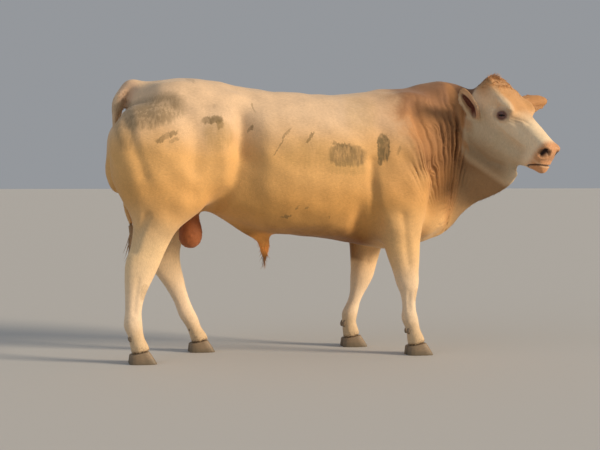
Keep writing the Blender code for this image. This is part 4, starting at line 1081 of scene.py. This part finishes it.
# Skin and hair share one paint. x, y, z are the drawing's own metres, p, b, q the head's own frame.
class Coat(Finish):
    def __init__(self, name, hair):
        super().__init__(name, coatGloss)
        self.where = self.place()
        self.body = self.vector("SUBTRACT", self.where, tuple(shift))
        self.x, self.y, self.z = self.parts(self.body)
        fromPoll = self.vector("SUBTRACT", self.where, tuple(head.translation))
        self.p, self.b, self.q = (self.dot(fromPoll, axis) for axis in head.to_3x3().col)
        self.big = self.noise(self.body, 3.2, 2.0)
        self.mid = self.noise(self.body, 14.0, 3.0)
        self.fine = self.noise(self.body, 60.0, 3.0)
        self.crease = self.layer("crease")
        self.paint(hair)

    # lay a tone, by name or as a wire, over the colour so far
    def cover(self, share, tone):
        tone = coatColours[tone] if isinstance(tone, str) else tone
        self.colour = self.mix(share, self.colour, tone)

    def oval(self, one, two, centre, sizes, turn=0.0, soft=0.35, square=1):
        spin = math.radians(turn)
        u = (one - centre[0]) * (math.cos(spin) / sizes[0]) + (two - centre[1]) * (math.sin(spin) / sizes[0])
        v = (two - centre[1]) * (math.cos(spin) / sizes[1]) - (one - centre[0]) * (math.sin(spin) / sizes[1])
        return 1 - self.rise((u * u) ** square + (v * v) ** square, 1 - soft, 1 + soft)

    def paint(self, hair):
        x, y, z, p, q = self.x, self.y, self.z, self.p, self.q
        mid, fine, crease = self.mid, self.fine, self.crease
        onHead = self.rise(pastJaw(p, q) + (mid - 0.5) * 0.03, -0.025, 0.025) * self.rise(q, -0.42, -0.35)
        onHead = onHead * self.rise(x, 1.00, 1.06)
        near = 1 - self.rise(y, -0.06, 0.02)
        self.paintTrunk()
        self.paintNeck(1 - onHead, near)
        nose = self.paintFace(onHead)
        for side in (1, -1):
            self.paintEye(side, onHead)
            self.paintEar(side)
        # painted shade in the mouth's slit and the nostrils
        self.cover(crease * onHead, "hole")
        self.paintUnder()
        self.paintDirt(1 - onHead, near)
        # hair: streaks along the lie, one tone per tuft
        flowing = self.grain(self.body, (55.0, 420.0, 420.0))
        hanging = self.grain(self.body, (420.0, 420.0, 55.0))
        upright = self.sum("MAXIMUM", 1 - self.rise(z, 0.70, 0.90), self.rise(x, 0.85, 1.05))
        streak = flowing * (1 - upright) + hanging * upright
        tone = streak * 0.50 + fine * 0.22 + mid * 0.20 + 0.54
        if hair:
            tone = tone * self.layer("tint")
        self.feed("Base Color", self.toned(self.colour, tone))
        wet = nose * self.rise(q, -0.150, -0.120)
        self.feed("Roughness", 0.68 - wet * 0.30 + (mid - 0.5) * 0.12)
        if not hair:
            pebbles = self.node("ShaderNodeTexVoronoi", {"feature": "DISTANCE_TO_EDGE"},
                                {"Vector": self.where, "Scale": 230.0})
            pebbled = self.rise(pebbles, 0.0, 0.12)
            furry = self.bump(streak * (1 - wet) + pebbled * wet * 0.7, 0.0016, 0.55)
            self.feed("Normal", self.bump(mid + fine * 0.4, 0.006, 0.35, furry))

    # trunk: pinkish beige above, golden below, painted shade along the underside, and paler legs
    def paintTrunk(self):
        x, z, big, mid = self.x, self.z, self.big, self.mid
        self.colour = coatColours["side"]
        height = z + (big - 0.5) * 0.16
        self.cover(self.rise(height, 1.10, 1.38), "top")
        self.cover(1 - self.rise(height, 0.80, 1.10), "low")
        # painted shade: a dark band along the underside
        self.cover(1 - self.rise(z + (mid - 0.5) * 0.06, 0.62, 0.78), "bellyShade")
        ends = self.sum("MAXIMUM", self.rise(x, 0.50, 0.66), 1 - self.rise(x, -0.50, -0.34))
        legs = (1 - self.rise(z + (big - 0.5) * 0.20, 0.58, 0.96)) * ends
        legs = self.sum("MAXIMUM", legs, 1 - self.rise(z, 0.50, 0.56))
        limb = self.mix(self.rise(x, 0.0, 0.3), coatColours["leg"], coatColours["foreleg"])
        limb = self.mix(1 - self.rise(z + (big - 0.5) * 0.20, 0.30, 0.62), limb, coatColours["foot"])
        self.cover(legs, limb)
        shoulder = self.rise(x + (big - 0.5) * 0.10, 0.40, 0.64) * self.rise(z, 0.78, 0.98)
        self.cover(shoulder * 0.30, "neckPale")

    # neck: red-brown, darker towards the crest, with painted shade in the folds, behind the jaw and on the
    # throat
    def paintNeck(self, offHead, near):
        x, z, p, q, big, mid = self.x, self.z, self.p, self.q, self.big, self.mid
        edge = 0.92 - 0.25 * self.rise(z, 0.75, 1.45)
        neck = self.rise(x - edge + (mid - 0.5) * 0.16 + (big - 0.5) * 0.10, -0.06, 0.10) * offHead
        neck = neck * self.rise(z, 0.70, 0.98)
        towardsCrest = self.rise(mid * 0.5 + (z - 1.33) * 2.0, 0.20, 0.60)
        self.cover(neck * 0.88, self.mix(towardsCrest, coatColours["neckPale"], coatColours["neck"]))
        # painted shade on the throat under the head
        throat = self.rise(x, 1.02, 1.12) * (1 - self.rise(z, 1.02, 1.20)) * offHead
        self.cover(throat * 0.8, "throat")
        # painted shade on the neck just behind the jaw, where the head's shadow falls
        shadeBehindJaw = self.rise(pastJaw(p, q), -0.17, -0.04) * self.rise(z, 1.00, 1.12) * offHead * near
        self.cover(shadeBehindJaw * (0.25 + mid * 0.40), "paintedShade")
        # painted shade in the neck's folds, from the crease mask
        self.cover(self.crease * offHead * 0.75, "paintedShade")

    # head: the pale face and a warm forehead, both partly painted light, painted shade on the cheeks and
    # under the jaw, the crown and the muzzle
    def paintFace(self, onHead):
        p, b, q, big, mid, fine = self.p, self.b, self.q, self.big, self.mid, self.fine
        # the pale face, made paler still as painted light on the nose's bridge
        self.cover(onHead, "face")
        middle = self.rise(b + (mid - 0.5) * 0.05, -0.155, -0.075)
        # painted light: a warm band down the forehead's front, facing the key light
        litBrow = onHead * (1 - self.rise(p + (mid - 0.5) * 0.08, 0.24, 0.40))
        litBrow = litBrow * self.rise(q + (mid - 0.5) * 0.03, -0.085, -0.020) * middle
        # painted shade on the cheeks and under the jaw
        cheekShade = (1 - self.rise(q + (big - 0.5) * 0.06, -0.20, -0.07)) * (1 - self.rise(p, 0.44, 0.54))
        self.cover(cheekShade * onHead * 0.75, "cheekShade")
        under = (1 - self.rise(q + (big - 0.5) * 0.05, -0.34, -0.20)) * (1 - self.rise(p, 0.38, 0.50))
        self.cover(under * onHead * 0.85, "throat")
        # painted light on the forehead
        self.cover(litBrow * 0.85, "browLight")
        crown = onHead * (1 - self.rise(p + (mid - 0.5) * 0.06, 0.03, 0.14)) * self.rise(q, -0.10, -0.03)
        self.cover(crown * 0.85, "poll")
        nose = onHead * self.rise(p + (fine - 0.5) * 0.02, 0.505, 0.555)
        self.cover(nose * self.rise(q, -0.150, -0.120), "muzzle")
        lips = self.rise(p, 0.50, 0.56) * onHead * (1 - self.rise(q, -0.150, -0.125))
        self.cover(lips, "muzzle")
        return nose

    # dark skin round the eye, widened with painted shade of the lids and brow
    def paintEye(self, side, onHead):
        mid, fine, out = self.mid, self.fine, eyeFrames[side]
        fromEye = self.vector("SUBTRACT", self.where, tuple(out.translation))
        slant = self.dot(fromEye, out.col[0].xyz) + (fine - 0.5) * 0.012
        high = self.dot(fromEye, out.col[2].xyz * side) + (mid - 0.5) * 0.010
        byEye = onHead * (1 - self.rise(self.away(self.where, out.translation), 0.055, 0.070))
        # dark lid skin and painted shade of the lids and brow, in a wider soft oval and a close one
        around = self.oval(slant, high, (0.002, 0.006), (0.058, 0.038), 0, 0.9) * 0.5
        close = self.oval(slant, high, (0.000, 0.000), (0.036, 0.030), 0, 0.6) * 0.95
        self.cover(self.sum("MAXIMUM", around, close) * byEye, "lid")

    # ear: painted shade in the deep slit of the cup, the wall inside, and the back
    def paintEar(self, side):
        facing = head.to_3x3() @ Vector(earFacing[side]).normalized()
        inside = self.rise(self.dot(self.node("ShaderNodeNewGeometry", out=1), facing), 0.05, 0.6)
        along = (head.to_3x3() @ Vector(earWays[side])).normalized()
        fromRoot = self.vector("SUBTRACT", self.where, tuple(head @ Vector(earRoots[side])))
        far = self.dot(fromRoot, along)
        wide = self.dot(fromRoot, along.cross(facing)) * -side
        here = self.rise(self.b * side, 0.135, 0.150) * self.rise(self.x, 1.0, 1.05)
        hollow = self.oval(far, wide, (0.120, -0.015), (0.094, 0.022), -7, 0.35)
        wall = self.oval(far, wide, (0.110, 0.014), (0.095, 0.028), 0, 0.5)
        self.cover(here * inside * wall * 0.6, "earWall")
        # painted shade in the ear's deep slit
        self.cover(here * inside * hollow, "earSlitShade")
        self.cover(here * (1 - inside) * 0.75, "earBack")

    # bag, sheath made brighter as painted light with painted shade at its lower end, and the pink skin at the
    # tail's root
    def paintUnder(self):
        x, y, z = self.x, self.y, self.z
        bag = 1 - self.rise(self.away(self.body, (bagX, 0.0, 0.70)), 0.105, 0.135)
        self.cover(bag, "bag")
        sheath = 1 - self.rise(self.away(self.body, (sheathX, 0.0, 0.600)), 0.085, 0.150)
        # the sheath's orange, made brighter as painted light
        self.cover(sheath * 0.9, "sheath")
        # painted shade at the sheath's lower end
        self.cover(sheath * (1 - self.rise(z, 0.545, 0.600)) * 0.8, "paintedShade")
        pink = self.oval(x, z, (-0.80, 1.46), (0.06, 0.09), 0, 0.5)
        pink = pink * (1 - self.rise(self.sum("ABSOLUTE", y), 0.05, 0.10))
        self.cover(pink * 0.2, "pink")

    # dried dirt, brushed downwards, mud on the feet and small spots
    def paintDirt(self, offHead, near):
        x, z, mid, fine = self.x, self.z, self.mid, self.fine
        brushed = self.grain(self.body, (70.0, 70.0, 14.0), 3.0)
        broken = self.rise(brushed + (mid - 0.5) * 0.5, 0.32, 0.60)
        ragged = x + (fine - 0.5) * 0.024 + (mid - 0.5) * 0.024
        drip = z + (brushed - 0.5) * 0.050 + (fine - 0.5) * 0.012
        for cx, cz, long, high, turn, strength, soft, ochre in dirtMarks:
            shape = self.oval(ragged, drip, (cx, cz), (long, high), turn, soft, 1.4)
            self.cover(shape * near * strength * (broken * 0.45 + 0.55), "ochre" if ochre else "dirt")
        soiled = (1 - self.rise(z + (mid - 0.5) * 0.12, 0.10, 0.26)) * 0.45
        self.cover(soiled, "ochre")
        spots = self.rise(self.noise(self.body, 26.0, 5.0, 0.75), 0.66, 0.80) * self.rise(z, 0.2, 0.5)
        self.cover(spots * 0.22 * offHead, "dirt")


skinCoat = Coat("coat_skin", False)
hairCoat = Coat("coat_hair", True)
skin.data.materials.append(skinCoat.material)
furPieces = coatPieces + [pollHair, earHair, sheathHair]
for piece in furPieces:
    piece.data.materials.append(hairCoat.material)


# Two tones mixed by a stretched grain, with a little relief.
def grainFinish(name, rough, sizes, dark, light, tinted=False):
    made = Finish(name, {"Roughness": rough})
    streak = made.grain(made.place(), sizes)
    colour = made.mix(streak, dark, light)
    if tinted:
        colour = made.toned(colour, made.layer("tint"))
    made.feed("Base Color", colour)
    made.feed("Normal", made.bump(streak, 0.001, 0.5))
    return made.material


def hornFinish():
    made = Finish("claw_horn", {"Roughness": 0.5})
    place = made.place()
    grain = made.grain(place, (60.0, 60.0, 420.0), 3.0)
    cloud = made.noise(place, 24.0, 4.0, 0.65)
    height = made.parts(place)[2]
    colour = made.mix(grain, rgb(0.150, 0.100, 0.060), rgb(0.330, 0.240, 0.150))
    mud = (1 - made.rise(height + (cloud - 0.5) * 0.05, 0.004, 0.045)) * 0.7
    made.feed("Base Color", made.mix(mud, colour, rgb(0.120, 0.095, 0.060)))
    made.feed("Roughness", 0.42 + cloud * 0.35)
    made.feed("Normal", made.bump(grain * 0.5 + cloud, 0.0015, 0.6))
    return made.material


def lidFinish():
    made = Finish("lid_skin", {"Roughness": 0.42})
    cloud = made.noise(made.place(), 160.0, 3.0)
    made.feed("Base Color", made.mix(cloud, rgb(0.085, 0.034, 0.032), rgb(0.185, 0.090, 0.072)))
    made.feed("Normal", made.bump(cloud, 0.0010, 0.5))
    return made.material


def eyeFinish(side):
    name = "eye_left" if side > 0 else "eye_right"
    made = Finish(name, {"Roughness": 0.10, "Specular IOR Level": 0.18})
    place, out = made.place(), eyeFrames[side]
    offset = made.vector("SUBTRACT", place, tuple(out.translation))
    across, up = made.dot(offset, out.col[0].xyz), made.dot(offset, out.col[2].xyz)
    ring = (across * across + up * up) ** 0.5
    iris = eyeLook["iris"]
    colour = made.mix(made.rise(ring, 0.004, iris), rgb(0.020, 0.008, 0.005), rgb(0.040, 0.017, 0.009))
    pupil = (across / eyeLook["pupilWide"]) ** 2 + (up / eyeLook["pupilHigh"]) ** 2
    colour = made.mix(1 - made.rise(pupil, 0.8, 1.2), colour, rgb(0.004, 0.004, 0.006))
    colour = made.mix(made.rise(ring, iris, iris + 0.0012), colour, rgb(0.030, 0.014, 0.012))
    white = made.mix(made.noise(place, 300.0, 3.0), rgb(0.140, 0.085, 0.070), rgb(0.220, 0.150, 0.130))
    made.feed("Base Color", made.mix(made.rise(ring, 0.0155, 0.0180) * 0.6, colour, white))
    return made.material


switchGrain = (380.0, 380.0, 30.0)
hairTones = rgb(0.360, 0.210, 0.100), rgb(0.640, 0.430, 0.240)
coreTones = rgb(0.250, 0.140, 0.065), rgb(0.450, 0.290, 0.150)
switchHair.data.materials.append(grainFinish("switch_hair", 0.62, switchGrain, *hairTones, tinted=True))
switchCore.data.materials.append(grainFinish("switch_core", 0.75, switchGrain, *coreTones))
hornMaterial = hornFinish()
for shoe in shoes:
    shoe.data.materials.clear()
    shoe.data.materials.append(hornMaterial)
lids.data.materials.append(lidFinish())
for side, ball in eyes.items():
    ball.data.materials.append(eyeFinish(side))
print("materials made")


# Floor, lights and the camera of the picture.
stageLook = {"floor": rgb(0.55, 0.54, 0.52), "key": 3.75, "rim": 0.35, "sky": 0.34}
cameraLook = {"yaw": 14, "drop": 42 / 1225, "lens": 73.5, "aside": 0.171, "distance": 7.0, "height": 0.98}


def makeFloor():
    bm = bmesh.new()
    bmesh.ops.create_grid(bm, x_segments=1, y_segments=1, size=200)
    floor = makeObject("floor", meshOf("floor", bm))
    made = Finish("floor", {"Roughness": 0.85, "Base Color": stageLook["floor"]})
    floor.data.materials.append(made.material)


def makeLight(name, way, strength, soft, colour):
    light = bpy.data.lights.new(name, "SUN")
    light.energy = strength
    light.angle = math.radians(soft)
    light.color = colour
    lamp = bpy.data.objects.new(name, light)
    bpy.context.scene.collection.objects.link(lamp)
    lamp.rotation_mode = "QUATERNION"
    lamp.rotation_quaternion = Vector(way).to_track_quat("Z", "Y")


def makeCamera():
    yaw, pitch = math.radians(cameraLook["yaw"]), math.atan(cameraLook["drop"])
    right = Vector((math.cos(yaw), -math.sin(yaw), 0))
    ahead = Vector((math.sin(yaw), math.cos(yaw), 0))
    lens = bpy.data.cameras.new("camera")
    lens.lens = cameraLook["lens"]
    lens.sensor_width = 36
    camera = bpy.data.objects.new("camera", lens)
    bpy.context.scene.collection.objects.link(camera)
    raised = Vector((0, 0, cameraLook["height"]))
    camera.location = right * cameraLook["aside"] - ahead * cameraLook["distance"] + raised + shift
    camera.rotation_mode = "QUATERNION"
    way = ahead * math.cos(pitch) - Vector((0, 0, 1)) * math.sin(pitch)
    camera.rotation_quaternion = way.to_track_quat("-Z", "Y")
    bpy.context.scene.camera = camera


def makeSky():
    world = bpy.data.worlds.new("studio")
    world.use_nodes = True
    back = world.node_tree.nodes["Background"]
    back.inputs["Color"].default_value = rgb(0.88, 0.92, 0.98)
    back.inputs["Strength"].default_value = stageLook["sky"]
    bpy.context.scene.world = world


bpy.context.scene.view_settings.view_transform = "Standard"
makeFloor()
makeSky()
makeCamera()
makeLight("key", (0.80, -0.52, 0.33), stageLook["key"], 16.0, (1.0, 0.83, 0.62))
makeLight("rim", (-0.80, -0.35, 0.50), stageLook["rim"], 60.0, (0.72, 0.86, 1.0))
print("stage made")
